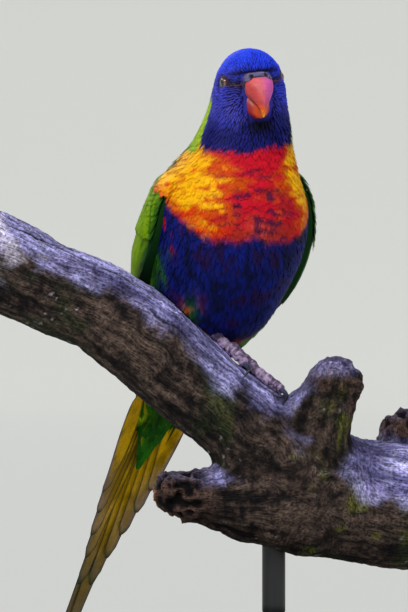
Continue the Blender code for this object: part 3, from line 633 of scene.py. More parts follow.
@dataclass(frozen=True)
class Vane:
    """The form that one kind of feather has.

    A blade is a grid of rows along the shaft by columns across it. Its tip falls back at the
    sides by tip times |v|^point of the length, and each column of barbs ends a little apart.
    """

    rows: int
    across: tuple[float, ...]
    tip: float
    point: float
    ragged: float
    root: float = 0.35
    widest: float = 0.55
    narrowing: float = 0.0
    arch: float = 0.12
    shaft: float = 0.0
    skew: float = 0.0
    thickness: float = 0.12 * MM

    def width(self, s: Array) -> Array:
        """Share of the half width at a share of the length: a sine rise, then a slow fall."""
        grown = np.sin(math.pi / 2 * np.clip(s / self.widest, 0, 1)) ** 0.8
        rise = self.root + (1 - self.root) * grown
        return rise * (1 - self.narrowing * smooth(self.widest, 1.0, s))

    def faces(self) -> tuple[Array, Array]:
        """The quads of one closed blade, and the top points that its underside repeats.

        Returns:
            Faces of the upper side and, turned round, of the underside, which shares the
            blade's border; and the indices of the points inside that border.
        """
        r, c = self.rows, len(self.across)
        index = np.arange(r * c).reshape(r, c)
        inside = index[1:-1, 1:-1].ravel()
        below = index.ravel().copy()
        below[inside] = r * c + np.arange(len(inside))
        top = grid_faces(r, c)
        return np.concatenate((top, below[top[:, ::-1]])), inside


@dataclass
class Lay:
    """Feathers laid on a chart: their shafts, sizes and heights.

    x and y hold one row of chart parameters for each feather, lengths and half widths are in
    metres, and lift is the shaft's height over the chart at each row.
    """

    chart: Chart
    x: Array
    y: Array
    length: Array
    half: Array
    lift: Array
    tilt: Array | float = 0.0

    def __len__(self) -> int:
        """How many feathers there are."""
        return len(self.x)


Paint = Callable[["Blades"], Array]


@dataclass
class Blades:
    """What a paint function may read of laid feathers.

    Station and angle are each point's place on the body, s its share of the length, v its place
    across from -1 to 1, and draw a few numbers drawn for each feather.
    """

    point: Array
    station: Array
    angle: Array
    s: Array
    v: Array
    draw: Array


def walk(
    chart: Chart, x: Array, y: Array, length: Array, rows: int, flow: Callable[..., Array]
) -> tuple[Array, Array]:
    """Shafts that start at roots and follow a field of directions over a chart.

    Each step adds length / (rows - 1) times the field's direction, laid in the tangent plane.

    Args:
        chart: the surface.
        x: the roots' first parameter.
        y: the roots' second parameter.
        length: how long each shaft is, in metres.
        rows: points along a shaft.
        flow: directions in space for a frame and both parameters.

    Returns:
        Both parameters, one row for each shaft.
    """
    xs, ys = [x], [y]
    for _ in range(rows - 1):
        frame = chart.frame(xs[-1], ys[-1])
        heading = flow(frame, xs[-1], ys[-1])
        heading = unit(heading - (heading * frame.normal).sum(-1, keepdims=True) * frame.normal)
        dx, dy = frame.solve(heading * (length / (rows - 1))[:, None])
        xs.append(xs[-1] + dx)
        ys.append(ys[-1] + dy)
    return np.stack(xs, 1), np.stack(ys, 1)


def blades(
    lay: Lay, vane: Vane, paint: Paint, rng: np.random.Generator, clear: Callable | None = None
) -> Shape:
    """Closed blades for laid feathers.

    A blade's point is P + N h, with P the chart's point at the shaft's place plus v w along the
    direction T x N across it, and h = lift - arch w v^2 + tilt w v + shaft max(0, 1 - |v| / b),
    where b is the shaft's share of the width.

    Args:
        lay: where the feathers lie.
        vane: their form.
        paint: gives each point's colour.
        rng: draws the tips' raggedness.
        clear: moves points out of what the feathers rest on.

    Returns:
        All blades as one shape.
    """
    n, r, c = len(lay), vane.rows, len(vane.across)
    frame = lay.chart.frame(lay.x, lay.y)
    ahead = unit(np.gradient(frame.point, axis=1))
    side_x, side_y = frame.solve(np.cross(ahead, frame.normal))
    v = np.array(vane.across)
    s = np.linspace(0, 1, r)[:, None] * (1 - vane.tip * np.abs(v) ** vane.point)
    s = s + rng.normal(0, vane.ragged, (n, 1, c)) * s**4
    s = np.clip(s, 0, 1)
    spot = s * (r - 1)
    i = np.minimum(spot.astype(int), r - 2)
    w = spot - i
    who = np.arange(n)[:, None, None]

    def along(values: Array) -> Array:
        """A value of each shaft's rows, read between them at the blade's own rows."""
        return values[who, i] * (1 - w) + values[who, i + 1] * w

    reach = v * (1 + vane.skew * np.sign(v)) * vane.width(s) * lay.half[:, None, None]
    x, y = along(lay.x) + reach * along(side_x), along(lay.y) + reach * along(side_y)
    at = lay.chart.frame(x, y)
    tilt = np.broadcast_to(np.asarray(lay.tilt, float), n)[:, None, None]
    height = along(lay.lift) - vane.arch * np.abs(reach * v) + tilt * reach
    height = height + vane.shaft * np.maximum(0, 1 - np.abs(v) / SHAFT_SHARE) * (1 - SHAFT_FALL * s)
    top = at.point + at.normal * height[..., None]
    under = top - at.normal * vane.thickness
    station, angle = lay.chart.place(x, y)
    draw = rng.uniform(-1, 1, (n, 4))
    across = v * np.ones_like(s)
    spots = Blades(top, station, angle, s, across, draw[:, None, None, :] + 0 * s[..., None])
    colours = [paint(spots, beneath) for beneath in (False, True)]
    faces, inside = vane.faces()
    flat = [a.reshape(n, r * c, -1) for a in (top, colours[0])]
    below = [a.reshape(n, r * c, -1)[:, inside] for a in (under, colours[1])]
    points, dyes = (np.concatenate(pair, axis=1) for pair in zip(flat, below))
    if clear:
        points = clear(points)
    grain = np.stack((s * lay.length[:, None, None] / MM, reach / MM, 40 * draw[:, :1, None] + 0 * s), -1)
    grain = grain.reshape(n, r * c, 3)
    root_t, root_a = lay.chart.place(lay.x[:, 0], lay.y[:, 0])
    root = np.stack((np.mod(root_a / (2 * math.pi), 1), root_t / UNWRAP_STATIONS), -1)
    root = root * (1 - 2 * UNWRAP_MARGIN) + UNWRAP_MARGIN
    patch = np.stack((across, 2 * s - 1), -1).reshape(n, r * c, 2) * UNWRAP_PATCH
    unwrap = np.clip(root[:, None, :] + patch, 0, 1)
    grain, unwrap = (np.concatenate((a, a[:, inside]), axis=1) for a in (grain, unwrap))
    size = points.shape[1]
    faces = (faces[None] + (np.arange(n) * size)[:, None, None]).reshape(-1, 4)
    data = [a.reshape(-1, a.shape[-1]) for a in (points, dyes, unwrap, grain)]
    return Shape(data[0], [faces], *data[1:])


class Dye:
    """The coat's colours, as a screen shows them."""

    COBALT = dye(34, 66, 246)
    VIOLET = dye(64, 64, 172)
    INK = dye(10, 16, 92)
    # The next colour is the lores' dark, and also painted shadow under the brow and on the chin
    NIGHT = dye(5, 6, 30)
    LORE = dye(84, 58, 58)
    RED = dye(196, 12, 36)
    ROSE = dye(206, 84, 78)
    ORANGE = dye(206, 72, 0)
    YELLOW = dye(250, 182, 0)
    BAR = dye(48, 10, 56)
    BELLY = dye(4, 20, 104)
    PLUM = dye(26, 10, 62)
    BLACK = dye(3, 5, 18)
    NAPE = dye(150, 186, 8)
    LEAF = dye(72, 122, 0)
    GREEN = dye(36, 92, 4)
    MOSS = dye(14, 62, 16)
    LIME = dye(128, 164, 0)
    VENT = dye(222, 66, 12)
    OLIVE = dye(176, 150, 4)
    ASH = dye(112, 102, 96)
    DUSK = dye(24, 26, 34)
    EMBER = dye(212, 40, 8)
    RUSSET = dye(132, 34, 30)
    UMBER = dye(26, 14, 12)
    TEAL = dye(14, 44, 66)
    MUSTARD = dye(176, 136, 0)
    GOLD = dye(255, 200, 0)
    DRAB = dye(92, 78, 34)
    PEARL = dye(150, 138, 150)
    STONE = dye(96, 88, 80)
    SOOT = dye(24, 22, 16)
    SEA = dye(30, 88, 84)
    FERN = dye(8, 84, 10)
    GRASS = dye(48, 134, 6)
    LEMON = dye(196, 180, 0)


class Flesh:
    """The colours of the bill, cere, eyes, lids, feet and claws."""

    SALMON = dye(192, 68, 68)
    # The next two colours are painted highlights on the upper bill
    HIGHLIGHT_MAUVE = dye(196, 80, 158)
    HIGHLIGHT_PINK = dye(232, 128, 140)
    AMBER = dye(232, 92, 20)
    HONEY = dye(252, 186, 20)
    # Painted shade inside the gape
    GAPE_SHADE = dye(60, 12, 18)
    WINE = dye(112, 40, 60)
    CORAL = dye(178, 50, 50)
    FLAME = dye(226, 84, 34)
    # A painted highlight along the lower bill's upper rims
    RIM = dye(226, 160, 140)
    # Painted shade inside the mouth
    MOUTH_SHADE = dye(40, 8, 12)
    # Painted shade under the lower bill
    CHIN_SHADE = dye(60, 16, 20)
    CERE_DARK = dye(66, 60, 100)
    CERE_PALE = dye(110, 98, 134)
    # Painted shade at the cere's edges
    CERE_EDGE_SHADE = dye(48, 38, 64)
    # Painted shade in the nostrils' pits
    NOSTRIL_SHADE = dye(8, 5, 9)
    IRIS_INNER = dye(118, 102, 92)
    IRIS_MIDDLE = dye(128, 56, 30)
    IRIS_OUTER = dye(58, 16, 14)
    PUPIL = dye(6, 5, 8)
    EYE_EDGE = dye(26, 14, 16)
    LID_INNER = dye(58, 36, 44)
    LID_OUTER = dye(30, 24, 44)
    LID_RIM = dye(104, 42, 34)
    SCALE_DARK = dye(96, 78, 110)
    SCALE_PALE = dye(172, 150, 184)
    # Painted shade in the foot's grooves
    GROOVE_SHADE = dye(24, 16, 30)
    CLAW_ROOT = dye(62, 66, 88)
    CLAW_TIP = dye(20, 20, 28)


class Wood:
    """The colours of the branch."""

    DARK = dye(20, 16, 18)
    BROWN = dye(92, 76, 68)
    GREEN = dye(38, 52, 26)
    MOSS = dye(112, 112, 40)
    # The next two colours are painted sky light on the limbs' upper sides
    SKY_LIT_LILAC = dye(92, 88, 136)
    PALE = dye(186, 182, 246)
    LICHEN = dye(206, 200, 224)
    SPECK = dye(196, 186, 190)
    GNARL_DARK = dye(12, 9, 12)
    GNARL_BROWN = dye(92, 70, 62)
    FRESH = dye(196, 132, 92)
    # Painted sky light on the upper faces of the gnarls
    SKY_LIT_GREY = dye(116, 112, 150)
    # Painted shade in the cracks and in the low parts of the relief
    CRACK = dye(12, 9, 10)
    RING_DARK = dye(134, 100, 66)
    RING_PALE = dye(186, 150, 106)
    RING_EDGE = dye(60, 44, 34)


class Plumage:
    """Where each colour of the coat lies, by stations and angles in degrees."""

    # Degrees to each side of the breast's middle, and the station where the colour ends there
    HOOD_FOOT = (
        (0, 20, 45, 64, 70, 77, 84, 92, 180),
        (6.05, 5.98, 5.88, 5.83, 5.5, 4.9, 4.1, 3.6, 3.4),
    )
    BREAST_FOOT = (
        (0, 10, 30, 50, 66, 84, 115, 130, 180),
        (8.18, 8.32, 8.35, 8.2, 8.0, 7.8, 7.7, 7.0, 6.6),
    )
    # The angle where the breast ends at the side, and the station where the nape does
    SIDE = 104.0
    NAPE_FOOT = 6.0
    # How far a border between two colours is drawn out, in stations to both sides
    BORDER = 0.1

    def __init__(self, body: Body, seed: int) -> None:
        """Prepares the mottling.

        Args:
            body: the bird's surface, for the head's own axes.
            seed: the number that the mottling starts from.
        """
        self.body = body
        self.cloud = Cloud(seed)

    def noise(self, point: Array, size: float, squeeze: float = 1.0) -> Array:
        """Mottling about size millimetres across, drawn out upwards where squeeze is over 1."""
        return self.cloud.at(point / MM, (size, size, size * squeeze))

    def above(self, past: Array) -> Array:
        """Share of the upper colour at so many stations past a border."""
        return smooth(self.BORDER, -self.BORDER, past)

    def hood(self, b: Blades) -> Array:
        """The blue head: cobalt in front, violet on the cheeks, inky on the throat, with painted shadow
        under the brow and on the chin.
        """
        head = self.body.head_local(b.point)
        x, y, z = np.abs(head[..., 0]), head[..., 1], head[..., 2]
        front = smooth(2, -8, y)
        blue = mix(Dye.VIOLET, Dye.COBALT, np.clip(smooth(2, 10, z) + 0.3 * self.noise(b.point, 5), 0, 1))
        blue = mix(blue, Dye.COBALT, 0.5 * smooth(3, 11, head[..., 0]) * smooth(-14, -2, z))
        throat = smooth(-7, -22, z) * (0.55 + 0.45 * front)
        blue = mix(blue, Dye.INK, np.clip(throat + 0.3 * self.noise(b.point, 4), 0, 0.94))
        # Painted shadow: a dark band across the front of the head over the eyes and cere, under the
        # forehead.
        brow = hump(z, 5.8, 1.3) * smooth(-6, -13, y) * smooth(16, 11, x)
        blue = mix(blue, Dye.NIGHT, 0.9 * brow)
        lore = hump(z - 0.1 * x, 0.4, 2.0) * smooth(-8, -11, y) * smooth(13.5, 11, x)
        brown = mix(Dye.NIGHT, Dye.LORE, hump(z, 0.9, 0.9))
        blue = mix(blue, brown, 0.9 * lore)
        # Painted shadow: near-black on the chin under the bill.
        chin_shadow = hump(z, -17.5, 3.5) * smooth(7, 3, x) * smooth(-8, -12, y)
        blue = mix(blue, Dye.NIGHT, 0.95 * chin_shadow)
        streak = hump(b.v, 0, 0.4) * smooth(0.2, 0.6, b.s)
        light = 0.34 + 0.95 * streak + 0.2 * b.draw[..., 0]
        return blue * light[..., None]

    def breast(self, b: Blades) -> Array:
        """Red under the hood and down the middle, through orange to yellow at the sides.

        Warmth grows to both sides and falls towards the belly, with wide flat streaks of noise.
        The lower rim is orange-red, with a loose rosy tuft and a few dark tips in the middle.
        """
        a = np.degrees(b.angle)
        wide, t = np.abs(a), b.station
        streak = self.noise(b.point, 9, 0.3) + 0.7 * self.noise(b.point + 0.05, 4, 0.35)
        side = np.maximum(smooth(2, -50, a), smooth(28, 56, a))
        warm = side - 0.26 * smooth(7.3, 8.2, t) + 0.5 * streak + 0.06 * b.draw[..., 0]
        colour = mix(Dye.RED, Dye.ORANGE, smooth(0.0, 0.36, warm))
        colour = mix(colour, Dye.YELLOW, smooth(0.5, 0.86, warm))
        collar = 6.28 + 0.8 * hump(a, 12, 26) + 0.12 * streak - t
        colour = mix(colour, Dye.RED, 0.92 * smooth(0, 0.3, collar) * smooth(66, 44, wide))
        foot = np.interp(wide, *self.BREAST_FOOT) - t
        colour = mix(colour, Dye.EMBER, 0.75 * smooth(0.5, 0.12, foot + 0.1 * streak))
        tuft = hump(a, 5, 13) * smooth(0.55, 0.2, foot)
        colour = mix(colour, Dye.ROSE, 0.8 * tuft * (0.6 + 0.4 * np.cos(b.v * 9)))
        middle = smooth(42, 20, np.abs(a - 4)) * smooth(6.4, 6.8, t)
        dull = smooth(0.05, 0.6, self.noise(b.point + 0.09, 7, 0.5)) * middle
        colour = mix(colour, Dye.RUSSET, 0.6 * dull)
        bars = smooth(0.3, 0.48, self.noise(b.point + 0.13, 4.6, 0.32)) * smooth(0.3, 0.7, b.s)
        colour = mix(colour, Dye.BAR, 0.85 * bars * middle)
        bend = hump(t, 6.66, 0.17) * hump(a, -104, 10)
        colour = mix(colour, Dye.UMBER, np.clip(1.4 * bend, 0, 0.95))
        return colour * (0.94 + 0.07 * b.draw[..., 2])[..., None]

    def belly(self, b: Blades) -> Array:
        """Deep blue mottled with plum, green on the flanks, with a warm patch on one thigh."""
        a = np.degrees(b.angle)
        wide, t = np.abs(a), b.station
        patch = self.noise(b.point, 6, 1.6) + 0.6 * self.noise(b.point + 0.03, 2.4, 2.2)
        colour = mix(Dye.BELLY, Dye.PLUM, smooth(0.05, 0.8, patch + 0.3 * b.draw[..., 0]))
        colour = mix(colour, Dye.BLACK, 0.75 * smooth(-0.1, 0.8, -patch + 0.3 * b.draw[..., 1]))
        flank = smooth(66, 84, wide + 9 * patch) * smooth(8.8, 9.3, t + 0.2 * patch)
        colour = mix(colour, mix(Dye.MOSS, Dye.GREEN, smooth(-0.3, 0.6, patch)), flank)
        fleck = smooth(56, 70, wide) * smooth(9.0, 8.6, t) * smooth(0.3, 0.55, patch)
        colour = mix(colour, Dye.RED, 0.85 * fleck)
        thigh = hump(t, 10.05, 0.3) * hump(a, -41, 7)
        warm = mix(Dye.YELLOW, Dye.ORANGE, smooth(-0.3, 0.5, patch))
        warm = mix(Dye.GREEN, warm, smooth(-0.3, 0.4, patch))
        colour = mix(colour, warm * 0.7, np.clip(1.3 * thigh, 0, 1) * 0.8)
        edge = smooth(-4, 6, a - 27 - 42 * (10.6 - t) + 4 * patch)
        green = mix(Dye.GREEN, Dye.LEAF, smooth(-0.4, 0.6, patch))
        colour = mix(colour, green, edge * smooth(9.7, 10.1, t))
        low = mix(Dye.VENT, Dye.YELLOW, smooth(0.3, 1.0, patch))
        low = mix(low, green, np.maximum(edge, smooth(-30, -44, a)))
        low = mix(low, mix(Dye.GREEN, Dye.NAPE, smooth(0.1, 0.8, patch)), smooth(11.5, 12.2, t))
        colour = mix(colour, low, smooth(10.45, 10.8, t + 0.15 * patch))
        light = 0.7 + 0.45 * hump(b.v, 0, 0.4) + 0.15 * b.draw[..., 2]
        return colour * light[..., None]

    def mantle(self, b: Blades) -> Array:
        """A yellow-green nape, then a bright green back with a few yellow and red edges."""
        patch = self.noise(b.point, 7)
        nape = smooth(6.5, 5.5, b.station + 0.25 * patch)
        colour = mix(mix(Dye.GREEN, Dye.LEAF, smooth(-0.7, 0.7, patch)), Dye.NAPE, nape)
        edge = smooth(0.7, 0.95, b.s + 0.15 * np.abs(b.v)) * smooth(9.5, 8, b.station)
        bright = mix(Dye.LIME, Dye.ORANGE, smooth(0.3, 0.7, b.draw[..., 3]))
        colour = mix(colour, bright, 0.4 * edge * (1 - nape))
        light = 0.7 + 0.34 * smooth(0.2, 0.9, b.s) + 0.12 * b.draw[..., 0]
        return colour * light[..., None]

    def skin(self, b: Blades, beneath: bool = False) -> Array:
        """The whole coat's markings by place, as both the skin and its feathers carry them.

        Args:
            b: the points to colour.
            beneath: whether they lie on the underside of a blade.

        Returns:
            A linear colour for each point.
        """
        wide = np.abs(np.degrees(b.angle))
        jitter = 0.1 * b.draw[..., 0] + 0.1 * self.noise(b.point, 3)
        t = b.station + jitter
        hood = np.interp(wide, *self.HOOD_FOOT)
        foot = np.interp(wide, *self.BREAST_FOOT)
        behind = smooth(self.SIDE - 5, self.SIDE + 5, wide + 6 * b.draw[..., 1])
        green = self.mantle(b)
        colour = mix(self.belly(b), green, smooth(88, 100, wide))
        calm = t - 0.6 * jitter
        nape = self.above(t - self.NAPE_FOOT) * smooth(64, 74, wide)
        front = mix(self.breast(b), green, np.maximum(behind, nape))
        colour = mix(colour, front, self.above(calm - foot))
        colour = mix(colour, self.hood(b), self.above(t - hood))
        return colour * (0.5 if beneath else 1.0)


@dataclass
class Perch:
    """The cut branch: two stout limbs, an upright stub and a spur, under one skin of bark."""

    voxel: float = 0.95 * MM
    blend: float = 5.0 * MM
    ease: float = 1.6 * MM
    limbs: tuple = LIMBS
    # Whether each limb's first and last end is sawn flat
    sawn: tuple = ((True, False), (False, True), (False, False), (False, False), (False, False))

    def line(self, limb: Sequence) -> tuple[Array, Array]:
        """A limb's middle line and radii, in metres."""
        points = (np.array([p for p, _ in limb], float) + PERCH_DATUM) * MM
        return points, np.array([r for _, r in limb], float) * MM

    def near(self, points: Array, limb: Sequence, cut: bool = False) -> tuple[Array, Array, Array]:
        """How points lie to a limb, taken as a chain of cones.

        Args:
            points: places in metres.
            limb: the limb's knots and radii.
            cut: whether its sawn ends are flat cuts and not balls.

        Returns:
            Distances out of the limb, the unit directions away from its middle line, and places
            along that line in metres, both eased from each cone to the next.
        """
        line, radii = self.line(limb)
        gaps, offs, runs = [], [], []
        start = 0.0
        for i in range(len(line) - 1):
            axis = line[i + 1] - line[i]
            span = np.linalg.norm(axis)
            share = np.clip((points - line[i]) @ axis / span**2, 0, 1)
            on = line[i] + share[:, None] * axis
            off = points - on
            gaps.append(np.linalg.norm(off, axis=1) - (radii[i] + (radii[i + 1] - radii[i]) * share))
            offs.append(unit(off))
            runs.append(start + share * span)
            start += span
        gaps = np.stack(gaps)
        best = gaps.min(0)
        weight = np.exp((best - gaps) / self.ease)
        weight /= weight.sum(0)
        away = unit(np.einsum("ij,ijk->jk", weight, np.stack(offs)))
        run = (weight * np.stack(runs)).sum(0)
        if cut:
            for end, out in self.cuts(limb):
                best = np.maximum(best, (points - end) @ out)
        return best, away, run

    def cuts(self, limb: Sequence) -> list[tuple[Array, Array]]:
        """The middle of each of a limb's sawn ends, and the unit direction out of it."""
        line, _ = self.line(limb)
        ends = ((line[0], line[1]), (line[-1], line[-2]))
        marked = zip(self.sawn[LIMBS.index(limb)], ends)
        return [(end, unit(end - inner)) for sawn, (end, inner) in marked if sawn]

    def clear(self, margin: float) -> Callable[[Array], Array]:
        """A move that pushes points out of the sloping limb, to a margin over its bark."""

        def move(points: Array) -> Array:
            """The points, pushed away from the limb's middle line where they are too near."""
            flat = points.reshape(-1, 3)
            gap, away, _ = self.near(flat, LIMB)
            return (flat + away * np.maximum(margin - gap, 0)[:, None]).reshape(points.shape)

        return move

    def field(self, points: Array) -> Array:
        """Distance out of all limbs together, as a smooth least of the limbs' own distances."""
        total = None
        for limb in self.limbs:
            gap = self.near(points, limb, cut=True)[0]
            if total is None:
                total = gap
                continue
            h = np.clip(0.5 + 0.5 * (total - gap) / self.blend, 0, 1)
            total = total * (1 - h) + gap * h - self.blend * h * (1 - h)
        return total

    def steepest(self, points: Array, step: float = 0.25 * MM) -> Array:
        """Unit directions out of the bark, by central differences of the field."""
        shifts = np.eye(3) * step
        return unit(np.stack([self.field(points + d) - self.field(points - d) for d in shifts], -1))


class Bed(Enum):
    """The body's own beds of small feathers: slot and seed. The mantle is two pieces."""

    crown = ("head_feathers", 11)
    cheeks = ("head_feathers", 12)
    throat = ("head_feathers", 13)
    breast = ("breast_feathers", 14)
    mantle = ("wing_feathers", 15)
    belly = ("belly_feathers", 16)
    rump = ("belly_feathers", 17)


HEAD_VANE = Vane(
    5, (-1, -0.5, 0, 0.5, 1), tip=0.42, point=1.4, ragged=0.05, narrowing=0.35, arch=0.06, thickness=0.1 * MM
)
FINE = (-1, -0.72, -0.44, -0.18, 0.12, 0.4, 0.7, 1)
BODY_VANE = Vane(8, FINE, tip=0.36, point=2.0, ragged=0.08, arch=0.03, thickness=0.1 * MM)
SOFT_VANE = Vane(8, FINE, tip=0.5, point=1.6, ragged=0.16, narrowing=0.3, arch=0.03, thickness=0.1 * MM)
COVERT_VANE = Vane(
    9, (-1, -0.7, -0.4, -0.1, 0, 0.1, 0.4, 0.7, 1), tip=0.3, point=2.2, ragged=0.03, shaft=0.1 * MM
)
QUILL_VANE = Vane(
    22,
    (-1, -0.76, -0.52, -0.3, -0.1, 0, 0.1, 0.3, 0.52, 0.76, 1),
    tip=0.07,
    point=2.0,
    ragged=0.006,
    root=0.6,
    widest=0.35,
    narrowing=0.55,
    arch=0.1,
    shaft=0.28 * MM,
    thickness=0.16 * MM,
)


@dataclass
class Coat:
    """The body's skin and its beds of small feathers."""

    body: Body
    plumage: Plumage
    perch: Perch
    # Stations, then the feathers' spacing, length, half width and coat depth there, in mm
    sizes: tuple = (
        (0.0, 0.95, 3.4, 0.72, 0.9),
        (2.5, 0.95, 3.6, 0.72, 0.9),
        (3.5, 1.1, 4.2, 0.82, 1.0),
        (4.5, 1.3, 5.0, 0.95, 1.2),
        (5.5, 1.55, 6.2, 1.2, 1.4),
        (6.0, 1.8, 8.0, 1.6, 1.4),
        (6.6, 2.05, 9.6, 2.1, 1.4),
        (7.5, 2.3, 11.0, 2.5, 1.5),
        (9.0, 2.6, 12.5, 2.4, 2.0),
        (10.5, 2.8, 13.5, 2.4, 2.0),
        (12.0, 3.0, 14.0, 2.6, 1.8),
        (13.4, 3.0, 14.0, 2.6, 1.6),
    )
    last: float = 13.0
    skin_top: float = 0.04
    skin_foot: float = 13.6
    # The last station of a bed; the breast's is the one under its sides
    bed_feet: dict[str, float] = field(
        default_factory=lambda: dict(crown=2.9, cheeks=4.4, throat=5.9, breast=7.4, belly=10.9, mantle=12.4)
    )
    # Degrees from the breast's middle where the back, the breast's flank and the nape start
    bed_sides: tuple[float, float, float] = (94.0, 84.0, 62.0)
    # No feather roots so many degrees inside a wing's front and back edge, between two stations
    tucked: tuple[float, float] = (11.0, 8.0)
    tucked_stations: tuple[float, float] = (7.3, 12.4)
    # Boxes round the bill with no feathers, in the head's axes: half width, back, foot and top, in mm
    bare_boxes: tuple = ((6.6, -12.0, -10.0, 5.6), (5.4, -11.0, -15.5, -10.0))
    # The bill's base as the feathers' flow and size see it, and the eye, in the head's axes in mm
    flow_start: tuple[float, float, float] = (0.0, -15.0, -3.0)
    small_start: tuple[float, float, float] = (0, -17.0, -2.0)
    eye: tuple[float, float, float] = (13.4, -7.5, 1.8)
    eye_room: float = 3.75
    # Humps of the coat: height in mm, station and its width, angle in degrees and its width
    humps: tuple = (
        (1.5, 6.1, 0.7, -112, 26),
        (2.6, 6.8, 0.35, -100, 20),
        (1.1, 5.2, 1.3, 74, 26),
        (2.0, 10.9, 0.4, 52, 20),
    )

    def size(self, station: Array) -> tuple[Array, ...]:
        """Spacing, length, half width and depth of the coat at stations, in metres."""
        table = np.array(self.sizes)
        return tuple(np.interp(station, table[:, 0], table[:, i]) * MM for i in range(1, 5))

    def roots(self, rng: np.random.Generator) -> tuple[Array, Array]:
        """Rows of roots down the body, staggered and a little uneven.

        Args:
            rng: draws the unevenness.

        Returns:
            Stations and angles in radians.
        """
        stations, angles = [], []
        t, odd = 0.12, 0.0
        around = np.linspace(0, 2 * math.pi, 61)
        while t < self.last:
            ring = self.body.section(t, around)
            ahead = self.body.section(t + 0.05, around)
            spacing = float(self.size(t)[0])
            girth = np.linalg.norm(np.diff(ring, axis=0), axis=1).sum()
            count = max(5, int(round(girth / spacing)))
            turn = (np.arange(count) + odd + rng.uniform(-0.3, 0.3, count)) / count * 2 * math.pi
            rate = np.linalg.norm(ahead - ring, axis=1).mean() / 0.05
            stations.append(t + rng.uniform(-0.3, 0.3, count) * spacing / rate)
            angles.append(np.arctan2(np.sin(turn), np.cos(turn)))
            t += spacing * 0.9 / rate
            odd = 0.5 - odd
        return np.maximum(np.concatenate(stations), 0.02), np.concatenate(angles)

    def flow(self, frame: Frame, x: Array, y: Array) -> Array:
        """The coat's lie: away from the bill over the head, then straight down the body.

        The head's direction is the unit vector from the bill's base plus a share of straight
        down that grows to the back and to the throat. It turns into the body's own direction,
        of growing station, between the cheeks and the neck.

        Args:
            frame: the surface under the points.
            x: the chart's first parameter.
            y: the chart's second parameter.

        Returns:
            Directions in space, one for each point.
        """
        station = np.hypot(x, y)
        head = self.body.head_local(frame.point)
        axes = self.body.head_axes()[1]
        off = head - np.array(self.flow_start)
        away = unit(off) @ np.stack((axes.lateral, axes.back, axes.up))
        fall = 1.9 * smooth(-3, 12, head[..., 1]) + 1.3 * smooth(-4, -14, head[..., 2])
        along = away - fall[..., None] * axes.up
        down = frame.dx * (x / station)[..., None] + frame.dy * (y / station)[..., None]
        share = smooth(4.2, 5.6, station)
        swirl = self.plumage.noise(frame.point, 16) * 0.16
        down, along = unit(down), unit(along)
        side = np.cross(frame.normal, down)
        return along * (1 - share)[..., None] + (down + side * swirl[..., None]) * share[..., None]

    def fluff(self, t: Array, a: Array) -> Array:
        """How much higher than usual the tips stand, in metres: on the neck, bend and vent.

        Args:
            t: stations.
            a: angles in radians.

        Returns:
            The sum of rounded humps h exp(-(dt / w)^2 - (da / v)^2).
        """
        a = np.degrees(a)
        return sum(h * hump(t, at, w) * hump(a, angle, v) for h, at, w, angle, v in self.humps) * MM

    def bare(self, points: Array) -> Array:
        """Where no feather roots: at the eyes and at the bill's base.

        Args:
            points: places on the body in metres.

        Returns:
            True where it is bare.
        """
        head = self.body.head_local(points)
        x, y, z = np.abs(head[:, 0]), head[:, 1], head[:, 2]
        eye = np.linalg.norm(np.stack((x, y, z), -1) - np.array(self.eye), axis=1) < self.eye_room
        boxes = [(x < w) & (y < back) & (z > foot) & (z <= top) for w, back, foot, top in self.bare_boxes]
        return np.logical_or.reduce([eye, *boxes])

    def sort(self, t: Array, a: Array) -> Array:
        """The bed that each root belongs to, as its place in Bed."""
        wide = np.abs(np.degrees(a))
        order = list(Bed)
        which = np.full(t.shape, order.index(Bed.rump))
        hood = np.interp(wide, *Plumage.HOOD_FOOT)
        foot = np.interp(wide, *Plumage.BREAST_FOOT)
        back, flank, nape = self.bed_sides
        below = t > hood - 0.2
        which[t < self.bed_feet[Bed.belly.name]] = order.index(Bed.belly)
        which[(t < foot - 0.25) & (wide < Plumage.SIDE)] = order.index(Bed.breast)
        which[below & (t < self.bed_feet[Bed.mantle.name]) & (wide >= back)] = order.index(Bed.mantle)
        at_side = (t < self.bed_feet[Bed.breast.name]) & (wide >= flank) & (wide < back)
        which[below & at_side] = order.index(Bed.breast)
        which[(t > hood - 0.1) & (t < Plumage.NAPE_FOOT) & (wide > nape)] = order.index(Bed.mantle)
        which[(t < self.bed_feet[Bed.throat.name]) & (t < hood + 0.35)] = order.index(Bed.throat)
        which[t < self.bed_feet[Bed.cheeks.name]] = order.index(Bed.cheeks)
        which[t < self.bed_feet[Bed.crown.name]] = order.index(Bed.crown)
        return which

    def under_wing(self, t: Array, a: Array) -> Array:
        """Where the folded wings hide the body well inside their edges."""
        hidden = np.zeros(t.shape, bool)
        (ahead, behind), (first, last) = self.tucked, self.tucked_stations
        for side in (-1, 1):
            front, back = (wing_edge(angles, t) for angles in (WING_FRONT_ANGLE[side], WING_BACK_ANGLE))
            turned = side * np.degrees(a)
            hidden |= (turned > front + ahead) & (turned < back - behind) & (t > first) & (t < last)
        return hidden

    def make(self) -> list[tuple[str, Shape, str]]:
        """The beds' shapes, each with its name and slot.

        Returns:
            Names, shapes and slots.
        """
        rng = np.random.default_rng(Seed.COAT)
        t, a = self.roots(rng)
        points = self.body.section(t, a)
        keep = ~self.bare(points) & ~self.under_wing(t, a)
        t, a, points = t[keep], a[keep], points[keep]
        which = self.sort(t, a)
        made = []
        for place, bed in enumerate(Bed):
            mine = which == place
            shape = self.bed(t[mine], a[mine], bed)
            if bed is Bed.mantle:
                shape, back = shape.halves(len(shape.points) // mine.sum())
                made.append(("back_feathers", back, bed.value[0]))
            made.append((bed.name + "_feathers", shape, bed.value[0]))
        return made

